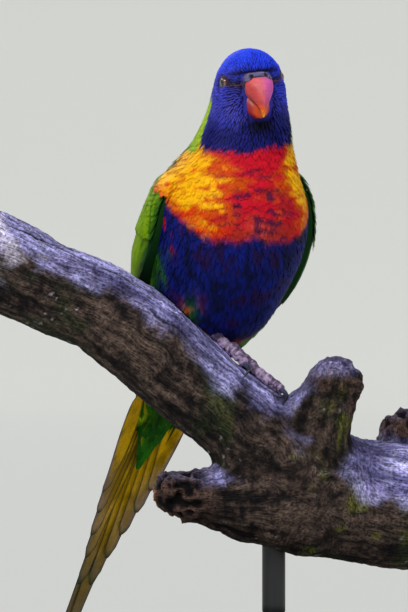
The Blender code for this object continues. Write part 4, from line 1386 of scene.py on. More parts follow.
    def bed(self, t: Array, a: Array, bed: Bed) -> Shape:
        """One bed's feathers as one shape.

        Args:
            t: the roots' stations.
            a: the roots' angles in radians.
            bed: the bed that they belong to.

        Returns:
            The bed's blades.
        """
        rng = np.random.default_rng(bed.value[1])
        _, length, half, depth = self.size(t)
        head = bed in (Bed.crown, Bed.cheeks, Bed.throat)
        vane = HEAD_VANE if head else SOFT_VANE if bed in (Bed.belly, Bed.rump) else BODY_VANE
        local = self.body.head_local(self.body.section(t, a))
        near = np.linalg.norm((local - np.array(self.small_start)) * (1, 1, 0.8), axis=1)
        small = 0.55 + 0.45 * smooth(8.5, 15, near)
        grown = rng.uniform(0.88, 1.12, len(t)) * small
        length, half = length * grown, half * grown
        x, y = walk(self.body, *self.body.chart(t, a), length, vane.rows, self.flow)
        s = np.linspace(0, 1, vane.rows)
        rise = rng.normal(0.06, 0.045, len(t)) * MM + self.fluff(t, a)
        lift = -0.9 * depth[:, None] + (0.9 * depth + rise)[:, None] * s**0.75
        lay = Lay(self.body, x, y, length, half, lift, rng.normal(0, 0.03, len(t)))
        return blades(lay, vane, self.plumage.skin, rng, self.perch.clear(0.9 * MM))

    def skin(self) -> Shape:
        """One closed skin from crown to tail root, under the coat by its depth."""
        t = np.linspace(0.0, 1.0, 150) ** 1.15 * (self.skin_foot - self.skin_top) + self.skin_top
        t, a = sheet(t, turns(96))
        frame = self.body.frame(*self.body.chart(t, a))
        depth = self.size(t)[3]
        points = frame.point - frame.normal * depth[..., None]
        points = self.perch.clear(5.5 * MM)(points)
        ones = np.ones_like(t)
        angle = np.arctan2(np.sin(a), np.cos(a))
        spots = Blades(points, t, angle, ones * 0.6, 0 * ones, np.zeros(t.shape + (4,)))
        # The coat's colours at 0.6: painted shade for the skin deep under the feathers.
        made = tube(points, self.plumage.skin(spots) * 0.6)
        around, down = np.append(a.ravel(), (0, 0)), np.append(t.ravel(), (0, self.skin_foot))
        made.unwrap = np.stack((around / (2 * math.pi), down / UNWRAP_STATIONS), -1)
        return turned_out(made)


@dataclass
class Bill:
    """The hooked bill, its cere with nostrils, and the lower bill."""

    body: Body
    # The culmen's arc in the head's own axes, in metres and degrees
    middle: tuple[float, float] = (-16.2 * MM, -6.6 * MM)
    radius: float = 12.1 * MM
    start: float = 90.0
    end: float = 215.0
    inner: float = 3.6 * MM
    width: float = 5.85 * MM
    tip_width: float = 0.35 * MM
    lean: float = -0.7 * MM
    root: float = 4.5 * MM
    pinch: float = 0.3
    lower_lean: float = -0.9 * MM
    # The lower bill's middle line, with its half width and half height, in mm
    lower_line: tuple = ((-9.0, -8.6), (-13.5, -8.9), (-17.5, -9.1), (-20.6, -10.2), (-22.6, -10.9))
    lower_half: tuple = (5.0, 5.2, 4.6, 3.4, 2.0)
    lower_high: tuple = (4.8, 5.2, 5.2, 4.0, 2.8)
    nostril: tuple[float, float, float] = (3.2, -19.3, 4.4)
    nostril_size: float = 0.8

    def section(self, share: Array, a: Array, grow: Array | float = 0.0) -> Array:
        """Points of the upper bill in the head's axes, in metres.

        A section spans from the cutting edge to the culmen's arc. It is a superellipse
        x = w |sin a|^p, r = |cos a|^p whose power p grows from boxy at the face to round at the
        tip, and it is pinched to a keel along the culmen. Its half width is
        w (1 - share^3.6)^2 and the edge's radius is r0 + r1 smooth(share).

        Args:
            share: place from the forehead, 0, to the tip, 1.
            a: angle round the section, 0 on the culmen.
            grow: how far the surface stands out from the horn, in metres.

        Returns:
            The points.
        """
        turn = np.radians(self.start + (self.end - self.start) * share)
        ray = np.stack((np.cos(turn), np.sin(turn)), -1)
        outer = np.array(self.middle) + (self.radius + np.asarray(grow) + 0 * turn)[..., None] * ray
        near = self.inner + 7.6 * MM * smooth(0.5, 1.02, share) - grow
        inner = np.array(self.middle) + near[..., None] * ray
        blunt = np.sqrt(np.clip(1 - ((share - 0.97) / 0.031).clip(0, 1) ** 2, 0.02, 1))
        taper = np.clip(1 - share**3.6, 0, 1) ** 2 * (1 - 0.08 * smooth(0.3, 0, share))
        half = (self.width * taper + self.tip_width + 0.6 * grow) * blunt
        inside = smooth(0.2, -0.5, np.cos(a))
        power = (0.6 + 0.4 * smooth(0.1, 0.6, share)) * (1 - inside) + 0.36 * inside
        c, s = (np.sign(f) * np.abs(f) ** power for f in (np.cos(a), np.sin(a)))
        keel = self.pinch * smooth(0.2, 0.6, share) * np.clip(np.cos(a), 0, 1) ** 1.5
        x = half * s * (1 - keel) + self.lean * share
        middle, reach = (outer + inner) / 2, (outer - inner) / 2 * blunt[..., None]
        point = middle + reach * c[..., None]
        return np.concatenate((x[..., None], point), -1)

    def horn(self) -> Shape:
        """The upper bill: salmon sides, a painted mauve highlight on the left face, a painted pink highlight
        along the keel, an orange to yellow tip.
        """
        share, a = sheet(np.linspace(0, 1, 90), turns(88))
        local = self.section(share, a, -0.9 * MM * smooth(0.26, 0.18, share))
        noise = Cloud(Seed.HORN)
        growth = noise.at(np.stack((share * 30, a * 1.2, 0 * a), -1), 1.0)
        lines = noise.at(np.stack((share * 4, a * 6, 0 * a + 3), -1), 1.0)
        local[0] += np.array((0, self.root, 0))
        # Painted highlights: mauve over the left face and pink along the keel.
        colour = mix(Flesh.SALMON, Flesh.HIGHLIGHT_MAUVE, smooth(-1.5 * MM, 3 * MM, local[..., 0]))
        keel = np.clip(np.cos(a), 0, 1) ** 10
        colour = mix(colour, Flesh.HIGHLIGHT_PINK, 0.4 * keel * smooth(0.9, 0.4, share))
        colour = mix(colour, Flesh.AMBER, smooth(0.7, 0.88, share + 0.05 * growth))
        colour = mix(colour, Flesh.HONEY, smooth(0.84, 0.97, share + 0.04 * growth))
        # Painted shade: dark on the upper bill's inner side, along the gape.
        inside = smooth(-0.75, -0.98, np.cos(a)) * smooth(0.95, 0.7, share)
        colour = mix(colour, Flesh.GAPE_SHADE, 0.85 * inside)
        colour = mix(colour, Flesh.WINE, 0.5 * smooth(0.3, 0.2, share))
        return self.placed(local, colour * (1 + 0.1 * growth + 0.09 * lines)[..., None])

    def placed(self, local: Array, colour: Array) -> Shape:
        """Rings in the head's axes as a closed shape in the model's own."""
        return solid(self.body.head_point(local), colour)

    def cere(self) -> Shape:
        """The waxy skin over the bill's base, raised round two round nostrils.

        It is a sleeve on the horn whose front edge runs level from the keel to the sides.
        Each nostril adds a ring exp(-((d - r) / w)^2) and takes away a pit exp(-d^4).
        """
        row, a = sheet(np.linspace(0, 1, 80), turns(160))
        wide = np.abs(np.arctan2(np.sin(a), np.cos(a)))
        edge = 0.23 + 0.065 * smooth(0.1, 0.7, wide) - 0.2 * smooth(0.85, 1.7, wide)
        share = row * edge
        puff = (0.12 + 0.26 * np.sin(math.pi * row**1.6).clip(0) ** 0.7) * smooth(1.0, 0.94, row)
        local = self.section(share, a, (puff - 0.6 * smooth(0.95, 1.0, row)) * MM)
        local[0] += np.array((0, self.root, 0))
        noise = Cloud(Seed.CERE)
        pit, swell = np.zeros_like(a), np.zeros_like(a)
        for side in (-1, 1):
            far = np.hypot(local[..., 0] / MM - side * self.nostril[0], local[..., 2] / MM - self.nostril[2])
            far = far / self.nostril_size + 9 * (local[..., 1] > -16 * MM)
            pit = np.maximum(pit, np.exp(-(far**4)))
            swell = swell + hump(far, 1.5, 0.55)
        out = unit(np.stack((0.2 * local[..., 0] / MM, 0 * a - 1.0, 0 * a + 0.55), -1))
        local = local + out * ((0.28 * swell - 0.65 * pit) * MM)[..., None]
        grain = noise.at(local / MM, 0.8) + 0.6 * noise.at(local / MM, 0.35)
        colour = mix(Flesh.CERE_DARK, Flesh.CERE_PALE, smooth(-0.6, 0.9, grain))
        # Painted shade: darker at both edges, where the cere meets the feathers and the horn.
        colour = mix(colour, Flesh.CERE_EDGE_SHADE, 0.5 * smooth(0.85, 1.0, row) + 0.4 * smooth(0.3, 0.0, row))
        # Painted shade: near-black in the nostrils' shallow pits.
        colour = mix(colour, Flesh.NOSTRIL_SHADE, np.clip(1.6 * pit, 0, 1))
        return self.placed(local, colour)

    def lower(self) -> Shape:
        """The scoop of the lower bill, from inside the face to its blunt front edge.

        Its sections are superellipses x = w |sin a|^p, z = h |cos a|^p, with p less on top.
        """
        table = curve_through(np.column_stack((self.lower_line, self.lower_half, self.lower_high)), 40)
        table = np.vstack((table, table[-1] + (table[-1] - table[-2]) * 0.8))
        line, half, high = table[:, :2] * MM, table[:, 2] * MM, table[:, 3] * MM
        heading = unit(np.gradient(line, axis=0))
        round_ = np.ones(len(table))
        round_[-6:] = (0.985, 0.96, 0.91, 0.82, 0.66, 0.36)
        a = turns(64)
        power = np.where(np.cos(a) > 0, 0.55, 0.85)
        x = (half * round_)[:, None] * np.sign(np.sin(a)) * np.abs(np.sin(a)) ** power
        x = x + (self.lower_lean * np.linspace(0, 1, len(table)))[:, None]
        rise = (high * round_)[:, None] * np.sign(np.cos(a)) * np.abs(np.cos(a)) ** power
        local = np.stack((x, line[:, :1] + rise * heading[:, 1:], line[:, 1:] - rise * heading[:, :1]), -1)
        growth = Cloud(Seed.LOWER_BILL).at(local / MM, (1.2, 0.5, 1.6))
        share = np.broadcast_to(np.linspace(0, 1, len(table))[:, None], x.shape)
        colour = mix(Flesh.CORAL, Flesh.FLAME, smooth(0.6, 1.0, share))
        # Painted highlight: a pale band along both upper rims of the lower bill.
        rim = hump(np.cos(a), 0.45, 0.22) * smooth(0.1, 0.4, share) * smooth(0.9, 0.6, share)
        colour = mix(colour, Flesh.RIM, 0.6 * rim)
        # Painted shade: dark on the top of the lower bill, inside the upper one.
        colour = mix(colour, Flesh.MOUTH_SHADE, 0.9 * smooth(0.7, 0.95, np.cos(a)))
        # Painted shade: darker on the lower bill's underside.
        under = smooth(-0.3, -0.95, np.cos(a)) * smooth(0.95, 0.6, share)
        colour = mix(colour, Flesh.CHIN_SHADE, 0.6 * under)
        return self.placed(local, colour * (1 + 0.1 * growth[..., None]))


@dataclass
class Eyes:
    """The eyes with their irises, and the bare lids that ring them."""

    body: Body
    centre: tuple[float, float, float] = (10.7 * MM, -6.9 * MM, 1.8 * MM)
    radius: float = 3.2 * MM
    lid_place: tuple[float, float, float] = (12.4 * MM, -7.45 * MM, 1.8 * MM)
    axis: tuple[float, float, float] = (0.94, -0.34, 0.02)
    opening: float = 2.45 * MM
    lid_width: float = 1.35 * MM

    def directions(self, side: int) -> tuple[Array, Array, Array]:
        """The eye's own directions in the head's axes: out, forward and up."""
        out = unit(np.array(self.axis) * (side, 1, 1))
        up = square_to(UP, out)
        return out, unit(np.cross(up, out)) * side, up

    def ball(self, side: int) -> Shape:
        """An eyeball with a clear bulge, its iris and pupil coloured by their angle off axis."""
        out, ahead, up = self.directions(side)
        off, a = sheet(np.linspace(0, 1, 60) ** 1.2 * math.pi, turns(64))
        bulge = 1 + 0.055 * smooth(0.95, 0.35, off)
        spoke = np.cos(a)[..., None] * ahead + np.sin(a)[..., None] * up
        local = np.array(self.centre) * (side, 1, 1) + self.radius * bulge[..., None] * (
            np.cos(off)[..., None] * out + np.sin(off)[..., None] * spoke
        )
        fibre = Cloud(Seed.IRIS).at(np.stack((a * 9, off * 3, 0 * a), -1), 1.0)
        iris = mix(Flesh.IRIS_INNER, Flesh.IRIS_MIDDLE, smooth(0.56, 0.68, off + 0.06 * fibre))
        iris = mix(iris, Flesh.IRIS_OUTER, smooth(0.68, 0.84, off))
        colour = mix(Flesh.PUPIL, iris, smooth(0.47, 0.53, off))
        colour = colour * (1 + 0.25 * fibre * smooth(0.45, 0.55, off))[..., None]
        colour = mix(colour, Flesh.EYE_EDGE, smooth(0.92, 1.05, off))
        return solid(self.body.head_point(local), colour)

    def lid(self, side: int) -> Shape:
        """The bare skin ring: a folded rim at the opening, then fine creases to the feathers.

        The ring's profile is r(q), h(q) over q from the inner edge round to the underside, and
        the opening is a little lower than wide, under a heavier upper lid.
        """
        out, ahead, up = self.directions(side)
        q, a = sheet(np.linspace(0, 1, 28), turns(120))
        turn = q * 2 * math.pi
        high = 0.9 + 0.03 * np.cos(2 * a)
        reach = self.opening + self.lid_width * (0.5 - 0.5 * np.cos(turn))
        body = 0.34 * MM * np.sin(turn) * (1 + 0.35 * np.sin(a) ** 3)
        crease = Cloud(Seed.LIDS).at(np.stack((np.cos(a) * 9, np.sin(a) * 9, q * 4), -1), 1.0)
        body = body + 0.07 * MM * crease * np.sin(turn).clip(0, 1)
        rim = 0.26 * MM * hump(q, 0.08, 0.07)
        fall = -0.42 * MM * (reach - self.opening) / self.lid_width
        spoke = np.cos(a)[..., None] * ahead + (np.sin(a) * high)[..., None] * up
        local = np.array(self.lid_place) * (side, 1, 1) + reach[..., None] * spoke
        local = local + (body + rim + fall + 0.25 * MM)[..., None] * out
        colour = mix(Flesh.LID_INNER, Flesh.LID_OUTER, smooth(0.1, 0.5, q))
        colour = mix(colour, Flesh.LID_RIM, 0.8 * hump(q, 0.06, 0.07))
        # Painted shade and light: the crease noise that raises the skin also darkens its lows and lightens
        # its ridges.
        colour = colour * (1 + 0.3 * crease[..., None])
        return ring_shape(self.body.head_point(local), colour)


def ring_shape(rings: Array, colours: Array) -> Shape:
    """A closed ring: rows round its section join their ends too, as on a torus.

    Args:
        rings: rows round the section by columns round the ring; the last row repeats the first.
        colours: one colour for each point.

    Returns:
        The ring, its faces looking out.
    """
    rows, columns, _ = rings.shape
    faces = grid_faces(rows, columns, True) % ((rows - 1) * columns)
    flat = rings[:-1].reshape(-1, 3)
    return turned_out(Shape(flat, [faces], colours[:-1].reshape(-1, 3)))


def wing_edge(angles: Sequence[float], stations: Array) -> Array:
    """The wing's front or back edge, in degrees round the body, with its corners eased."""
    near = [np.interp(stations + d, WING_STATIONS, angles) for d in (-0.5, -0.2, 0.2, 0.5)]
    return np.mean(near, axis=0)


class Wing(Chart):
    """A folded wing: a chart of its outer face, by station and share across it.

    Share is 0 at the front edge and 1 at the back edge. Under 0 the chart rolls over the front
    edge and down to the body.
    """

    step = (0.02, 0.01)
    height_stations = (6.95, 7.5, 8.5, 9.6, 11.0, 12.2, 14.4)
    heights = {-1: (1.2, 3.2, 5.8, 8.6, 7.4, 4.4, 1.4), 1: (1.6, 4.0, 6.2, 8.0, 7.4, 4.6, 1.4)}
    # Each tier: its kind, how many, the root station, the tip stations in front and behind, the
    # tips' rise in mm, the width over the spacing, and the share of the edge that the roots use
    tiers = (
        ("median", 11, 7.7, (8.95, 9.1), 0.45, 2.1, 1.0),
        ("greater", 12, 8.5, (10.15, 10.35), 0.45, 2.1, 1.0),
        ("secondary", 11, 9.5, (11.9, 12.6), 0.8, 2.0, 1.0),
        ("primary", 9, 10.6, (13.1, 14.35), 0.7, 2.1, 0.6),
    )
    # How deep roots lie under the face, and the small coverts' rows: stations and degrees apart
    sink = 1.3 * MM
    lesser_step = 0.16
    lesser_degrees = 2.0 / 0.52

    def __init__(self, body: Body, side: int, plumage: Plumage, perch: Perch) -> None:
        """Prepares one side's wing.

        Args:
            body: the surface that it folds against.
            side: 1 on the bird's left, -1 on its right.
            plumage: the coat's mottling.
            perch: what the wing's tips stay clear of.
        """
        self.body, self.side, self.plumage, self.perch = body, side, plumage, perch
        self.outward = float(side)

    def place(self, x: Array, y: Array) -> tuple[Array, Array]:
        """The station and the body's angle under a point of the wing."""
        front, back = (wing_edge(angles, x) for angles in (WING_FRONT_ANGLE[self.side], WING_BACK_ANGLE))
        share = np.where(y < 0, 0.3 * y, y)
        return np.asarray(x, float), np.radians(self.side * (front + (back - front) * share))

    def at(self, x: Array, y: Array) -> Array:
        """Points of the outer face: the body's point plus its normal times height by camber.

        Camber is .36 + .64 sin(pi (.07 + .88 share))^.7, and under 0 it falls as a quarter round.
        """
        x, y = np.broadcast_arrays(np.asarray(x, float), np.asarray(y, float))
        station, angle = self.place(x, y)
        under = self.body.frame(*self.body.chart(station, angle))
        height = np.interp(station, self.height_stations, self.heights[self.side]) * MM
        inside = np.clip(y, 0, 1)
        camber = 0.36 + 0.64 * np.clip(np.sin(math.pi * (0.07 + 0.88 * inside)), 0.01, 1) ** 0.7
        roll = np.clip(-y / 0.16, 0, 1)
        camber = camber - (0.36 + 0.12) * (1 - np.sqrt(1 - roll**2 * 0.99)) - 1.2 * np.clip(y - 1, 0, 1)
        return under.point + under.normal * (height * camber)[..., None]

    def paint(self, kind: str) -> Paint:
        """A tier's colours: yellow-green outer webs, dark inner webs and fine long streaks."""

        def colour(b: Blades, beneath: bool = False) -> Array:
            """One colour for each point, duller beneath."""
            streak = self.plumage.noise(b.point, 1.5, 11) + 0.7 * self.plumage.noise(b.point + 0.02, 0.8, 14)
            share = np.abs(np.degrees(b.angle))
            shade = mix(Dye.GREEN, Dye.LEAF, smooth(-0.8, 0.6, streak + 0.3 * b.draw[..., 0]))
            outer = smooth(82, 106, share + 12 * streak)
            shade = mix(shade, Dye.LIME, 0.8 * outer)
            inner = b.v * self.side
            if kind in ("secondary", "primary"):
                shade = mix(shade, Dye.DUSK, 0.6 * smooth(0.0, 0.4, inner))
                shade = mix(shade, Dye.LIME, 0.6 * smooth(-0.78, -0.95, inner) * smooth(0.1, 0.3, b.s))
            else:
                shade = mix(shade, Dye.LIME, 0.3 * smooth(0.82, 0.97, b.s + 0.08 * np.abs(b.v)))
            shade = mix(shade, Dye.MOSS, 0.5 * smooth(0.45, 0.1, b.s))
            if beneath:
                return mix(shade, Dye.ASH, 0.5) * 0.45
            front = smooth(0.12, -0.02, (share - wing_edge(WING_FRONT_ANGLE[self.side], b.station)) / 60)
            shade = mix(shade, mix(Dye.MOSS, Dye.TEAL, smooth(8.6, 9.6, b.station)), 0.7 * front)
            # Painted shade between feathers: darker along each feather's sides and tip.
            rim = smooth(0.6, 0.95, np.abs(b.v)) * smooth(1.1, 0.7, b.s) + smooth(0.96, 1, b.s)
            shade = mix(shade, Dye.MOSS, 0.6 * np.clip(rim, 0, 1))
            return shade * (0.94 + 0.08 * b.draw[..., 2])[..., None]

        return colour

    def arm(self) -> Shape:
        """The wing's inner body: a closed shell between its face and the bird's side."""
        s, share = sheet(np.linspace(6.98, 12.0, 60), np.linspace(-0.1, 1.0, 34))
        frame = self.frame(s, share)
        outer = frame.point - frame.normal * 1.4 * MM
        station, angle = self.place(s, share)
        under = self.body.frame(*self.body.chart(station, angle))
        inner = under.point - under.normal * 0.6 * MM
        lower = ((outer - inner) * under.normal).sum(-1, keepdims=True)
        outer = outer + under.normal * np.maximum(0.3 * MM - lower, 0)
        rings = np.concatenate((outer, inner[:, ::-1]), axis=1)
        rings = self.perch.clear(1.2 * MM)(rings)
        # Dark moss at 0.6: painted shade for the shell under the wing's feathers.
        colour = np.broadcast_to(Dye.MOSS * 0.6, rings.shape)
        return solid(rings, colour)

    def lesser(self, rng: np.random.Generator) -> Shape:
        """The small coverts that cover the bend of the wing, in even rows."""
        stations, shares = [], []
        for row, s in enumerate(np.arange(6.95, 8.6, self.lesser_step)):
            width = wing_edge(WING_BACK_ANGLE, s) - wing_edge(WING_FRONT_ANGLE[self.side], s)
            count = int(width / self.lesser_degrees)
            places = np.arange(count + 1) + 0.5 * (row % 2) + rng.uniform(-0.2, 0.2, count + 1)
            shares.append(places / count)
            stations.append(s + rng.uniform(-0.03, 0.03, count + 1))
        roots = np.concatenate(stations), np.concatenate(shares)
        sizes = ((6.0, 7.5), (1.7, 2.1), (1.45, 0.12))
        return self.small(roots, sizes, 0.1, self.paint("lesser"), rng, self.perch.clear(0.6 * MM))

    def shoulder(self, rng: np.random.Generator) -> Shape:
        """Feathers of the breast's side that lie over the bend of the wing."""
        s, share = sheet(np.arange(6.75, 7.15, 0.085), np.linspace(-0.2, 0.5, 18))
        s = s.ravel() + rng.uniform(-0.03, 0.03, s.size)
        share = share.ravel() + rng.uniform(-0.02, 0.02, s.size)
        return self.small((s, share), ((6.5, 10.5), (1.9, 2.3), (1.75, 0.08)), 0.0, self.plumage.skin, rng)

    def small(
        self,
        roots: tuple[Array, Array],
        sizes: tuple[tuple[float, float], ...],
        slant: float,
        paint: Paint,
        rng: np.random.Generator,
        clear: Callable | None = None,
    ) -> Shape:
        """A bed of small feathers that run down the wing from their roots.

        Args:
            roots: stations and shares across the wing.
            sizes: least and most length, least and most half width, and the tips' height over
                the roots with its spread, all in mm.
            slant: how far the shafts lean to the back edge, for each step down the wing.
            paint: gives each point's colour.
            rng: draws the sizes.
            clear: moves points out of what the feathers rest on.

        Returns:
            The bed's blades.
        """
        long, wide, (rise, spread) = sizes
        count, rows = len(roots[0]), BODY_VANE.rows
        length = rng.uniform(*long, count) * MM
        x, y = walk(self, *roots, length, rows, lambda frame, *_: unit(frame.dx) + slant * unit(frame.dy))
        steps = np.linspace(0, 1, rows) ** 0.75
        lift = -self.sink + (rise + rng.normal(0, spread, count))[:, None] * steps * MM
        lay = Lay(self, x, y, length, rng.uniform(*wide, count) * MM, lift)
        return blades(lay, BODY_VANE, paint, rng, clear)

    def tier(self, tier: tuple, rng: np.random.Generator) -> Shape:
        """One tier of larger feathers, rooted in a row and ending in a row of tips.

        Args:
            tier: one row of tiers.
            rng: draws small differences.

        Returns:
            The tier's blades.
        """
        kind, count, root, tips, rise, wide, arc = tier
        share = 0.07 + 0.93 * (np.arange(count) + 0.5) / count
        tip = tips[0] + (tips[1] - tips[0]) * share + rng.uniform(-0.03, 0.03, count)
        vane = QUILL_VANE if kind in ("secondary", "primary") else COVERT_VANE
        s = np.linspace(0, 1, vane.rows)
        x = root + (tip - root)[:, None] * s
        root_share = share * arc
        y = root_share[:, None] + (share - root_share)[:, None] * s
        point = self.at(x, y)
        length = np.linalg.norm(np.diff(point, axis=1), axis=-1).sum(1)
        first, second = self.at(np.full(2, root), np.array((0.0, 0.05)))
        width = np.degrees(np.ptp(self.place(np.full(2, root), np.array((0.0, arc)))[1]))
        rate = np.linalg.norm(second - first) / 0.05 / max(width / arc, 1)
        pitch = width * rate / count
        half = np.full(count, pitch * wide / 2)
        step = 0.12 * MM * (np.arange(count) % 2)[:, None]
        lift = (-self.sink + (self.sink + rise * MM) * s**0.8)[None] + step
        lay = Lay(self, x, y, length, half, lift, -0.1 * self.side)
        return blades(lay, vane, self.paint(kind), rng, self.perch.clear(0.5 * MM))

    def make(self) -> Shape:
        """The wing's feathers as one shape: small coverts and four tiers."""
        rng = np.random.default_rng(Seed.WINGS + self.side)
        return Shape.together([self.lesser(rng)] + [self.tier(tier, rng) for tier in self.tiers])


class Tail(Chart):
    """The tail's own plane, by metres from its root and metres to its side."""

    step = (0.0005, 0.0005)
    outward = -1.0
    # How many stations of the unwrap the tail takes
    stations = 1.9
    # Each pair's length, places to the side at root and tip, and half width, in mm
    lengths = (137.0, 110.0, 94.0, 80.0, 66.0, 53.0)
    root_side = (1.4, 3.4, 5.4, 7.4, 9.0, 10.2)
    tip_side = (1.2, 2.4, 4.4, 6.4, 8.6, 10.8)
    half = (5.4, 5.6, 5.6, 5.8, 5.6, 5.2)
    top = 3.0 * MM
    pitch = 0.88 * MM
    side_step = 0.44 * MM
    sunk = 4.0 * MM
    droop = 9.0
    bow = 2.4
    # Each row of coverts: the middle one's length in mm, and how many
    covert_rows = ((41, 7), (33, 8), (25, 9), (17, 10))

    def __init__(self, body: Body, plumage: Plumage) -> None:
        """Takes the tail's place from the body.

        Args:
            body: the bird's surface.
            plumage: the coat's mottling.
        """
        self.body, self.plumage = body, plumage
        self.origin, self.axes = body.middle(np.array(TAIL_STATION))

    def place(self, x: Array, y: Array) -> tuple[Array, Array]:
        """A station past the body's own and an angle that grows to the side."""
        return TAIL_STATION + np.clip(np.asarray(x) / 0.14, 0, 1) * self.stations, np.asarray(y) * 60

    def at(self, x: Array, y: Array) -> Array:
        """Points of the plane, which droops by a share of the distance to the side squared."""
        x, y = np.broadcast_arrays(np.asarray(x, float), np.asarray(y, float))
        droop = -self.droop * (y**2)[..., None] * self.axes.back
        return self.origin - x[..., None] * self.axes.up + y[..., None] * self.axes.lateral + droop

    def quill_paint(self, side: int) -> Paint:
        """A tail feather: green above; below olive-yellow with grey towards its tip."""

        def colour(b: Blades, beneath: bool = False) -> Array:
            """One colour for each point, duller beneath."""
            patch = self.plumage.noise(b.point, 5, 3) + 0.5 * self.plumage.noise(b.point, 1.6, 6)
            inner = smooth(-0.15, 0.3, -b.v * side)
            if beneath:
                warm = mix(Dye.MUSTARD, Dye.GOLD, smooth(-0.5, 0.4, patch))
                far = (b.station - TAIL_STATION) / self.stations
                warm = mix(warm, Dye.DRAB, 0.8 * smooth(0.5, 0.85, far + 0.06 * patch))
                grey = smooth(0.62, 1.1, b.s + 0.1 * patch + 0.4 * smooth(0.3, 0.9, b.v * side))
                ash = mix(Dye.PEARL, Dye.STONE, smooth(0.4, 0.7, far))
                shade = mix(warm, ash, 0.8 * grey)
                # Painted shade between feathers: darker along each feather's sides and tip.
                rim = smooth(0.76, 0.95, np.abs(b.v)) + smooth(0.95, 1, b.s)
                return mix(shade, Dye.SOOT, 0.75 * np.clip(rim, 0, 1))
            green = mix(Dye.GREEN, Dye.LEAF, smooth(-0.6, 0.6, patch))
            green = mix(green, mix(Dye.OLIVE, Dye.NAPE, 0.4), 0.7 * inner * smooth(1.0, 0.5, b.s))
            shade = mix(green, Dye.SEA, 0.5 * smooth(0.75, 1.0, b.s))
            # Painted shade between feathers: darker along each feather's sides and tip.
            rim = smooth(0.85, 1.0, np.abs(b.v)) + smooth(0.95, 1, b.s)
            return mix(shade, Dye.DUSK, 0.85 * np.clip(rim, 0, 1))

        return colour

    def quills(self, rng: np.random.Generator) -> Shape:
        """Twelve tail feathers in steps, the longest pair on top."""
        made = []
        s = np.linspace(0, 1, QUILL_VANE.rows)
        sizes = zip(self.lengths, self.root_side, self.tip_side, self.half)
        for pair, (length, root, tip, half) in enumerate(sizes):
            for side in (-1, 1):
                level = self.top - self.pitch * pair - (self.side_step if side > 0 else 0)
                run = length * MM + self.sunk
                x = (-self.sunk + run * s)[None]
                spread = 1 + (side < 0) * (0.34 + 0.5 * (1 - s) ** 2) * smooth(-0.15, 0.12, s)
                bow = self.bow * MM * (x[0] / (self.lengths[0] * MM)) ** 2
                y = (side * spread * (root + (tip - root) * s) * MM + bow)[None]
                lay = Lay(self, x, y, np.array((run,)), np.array((half * MM,)), np.full((1, len(s)), level))
                vane = replace(QUILL_VANE, skew=-0.12 * side, arch=0.06)
                made.append(blades(lay, vane, self.quill_paint(side), rng))
        return Shape.together(made)

    def covert_paint(self, over: bool) -> Paint:
        """The tail's coverts: green above, green with yellow sides below."""

        def colour(b: Blades, beneath: bool = False) -> Array:
            """One colour for each point, duller beneath."""
            patch = self.plumage.noise(b.point, 4, 1.6) + 0.4 * b.draw[..., 0]
            shade = mix(Dye.FERN, Dye.GRASS, smooth(-0.7, 0.8, patch))
            if not over:
                pale = smooth(0.35, 0.8, np.abs(b.v) + 0.3 * patch) * (b.draw[..., 1] > 0.45)
                shade = mix(shade, Dye.LEMON, 0.8 * pale)
            shade = mix(shade, Dye.MOSS, 0.5 * smooth(0.5, 0.1, b.s))
            return shade * (0.92 + 0.12 * b.draw[..., 2])[..., None]

        return colour

    def flipped(self) -> Tail:
        """The same plane seen from below."""
        under = Tail(self.body, self.plumage)
        under.outward = 1.0
        return under

    def coverts(self, rng: np.random.Generator) -> Shape:
        """Rows of coverts over and under the tail's root, the middle ones longest."""
        made = []
        s = np.linspace(0, 1, COVERT_VANE.rows)
        for over in (True, False):
            chart = self if over else self.flipped()
            level = self.top + 0.5 * MM if over else 6.1 * self.pitch - self.top
            for row, (reach, count) in enumerate(self.covert_rows):
                share = np.linspace(-1, 1, count) + rng.uniform(-0.06, 0.06, count)
                length = (reach - 0.5 * reach * np.abs(share) ** 1.3 + rng.uniform(-1, 1, count)) * MM
                start = np.clip(0.2 * length - 0.012, -0.012, 0)
                x = start[:, None] + (length - start)[:, None] * s
                side = (share * (10.8 + 0.5 * row) - 1.6) * MM
                y = side[:, None] * (1 - 0.55 * s)
                step = (0.35 * row + rng.uniform(0, 0.25, count)) * MM
                lift = level + step[:, None] + (-1.2 + 1.6 * s**0.8)[None] * MM
                lay = Lay(chart, x, y, length - start, np.full(count, 3.8 * MM), lift)
                made.append(blades(lay, COVERT_VANE, self.covert_paint(over), rng))
        return Shape.together(made)


def sweep(line: Array, radii: Array, columns: int) -> tuple[Array, Array, Array]:
    """Rings round a line, each square to it, without twist from one to the next.

    Args:
        line: points along the middle.
        radii: a radius for each point.
        columns: points round each ring.

    Returns:
        The rings, the outward unit directions of their points, and the angles round them, which
        are 0 on the side that faces up where the line starts.
    """
    ahead = unit(np.gradient(line, axis=0))
    up = UP
    first = []
    for heading in ahead:
        up = square_to(up, heading)
        first.append(up)
    first = np.array(first)
    second = np.cross(ahead, first)
    a = turns(columns)
    out = np.cos(a)[None, :, None] * first[:, None] + np.sin(a)[None, :, None] * second[:, None]
    return line[:, None] + out * radii[:, None, None], out, np.broadcast_to(a, out.shape[:2])


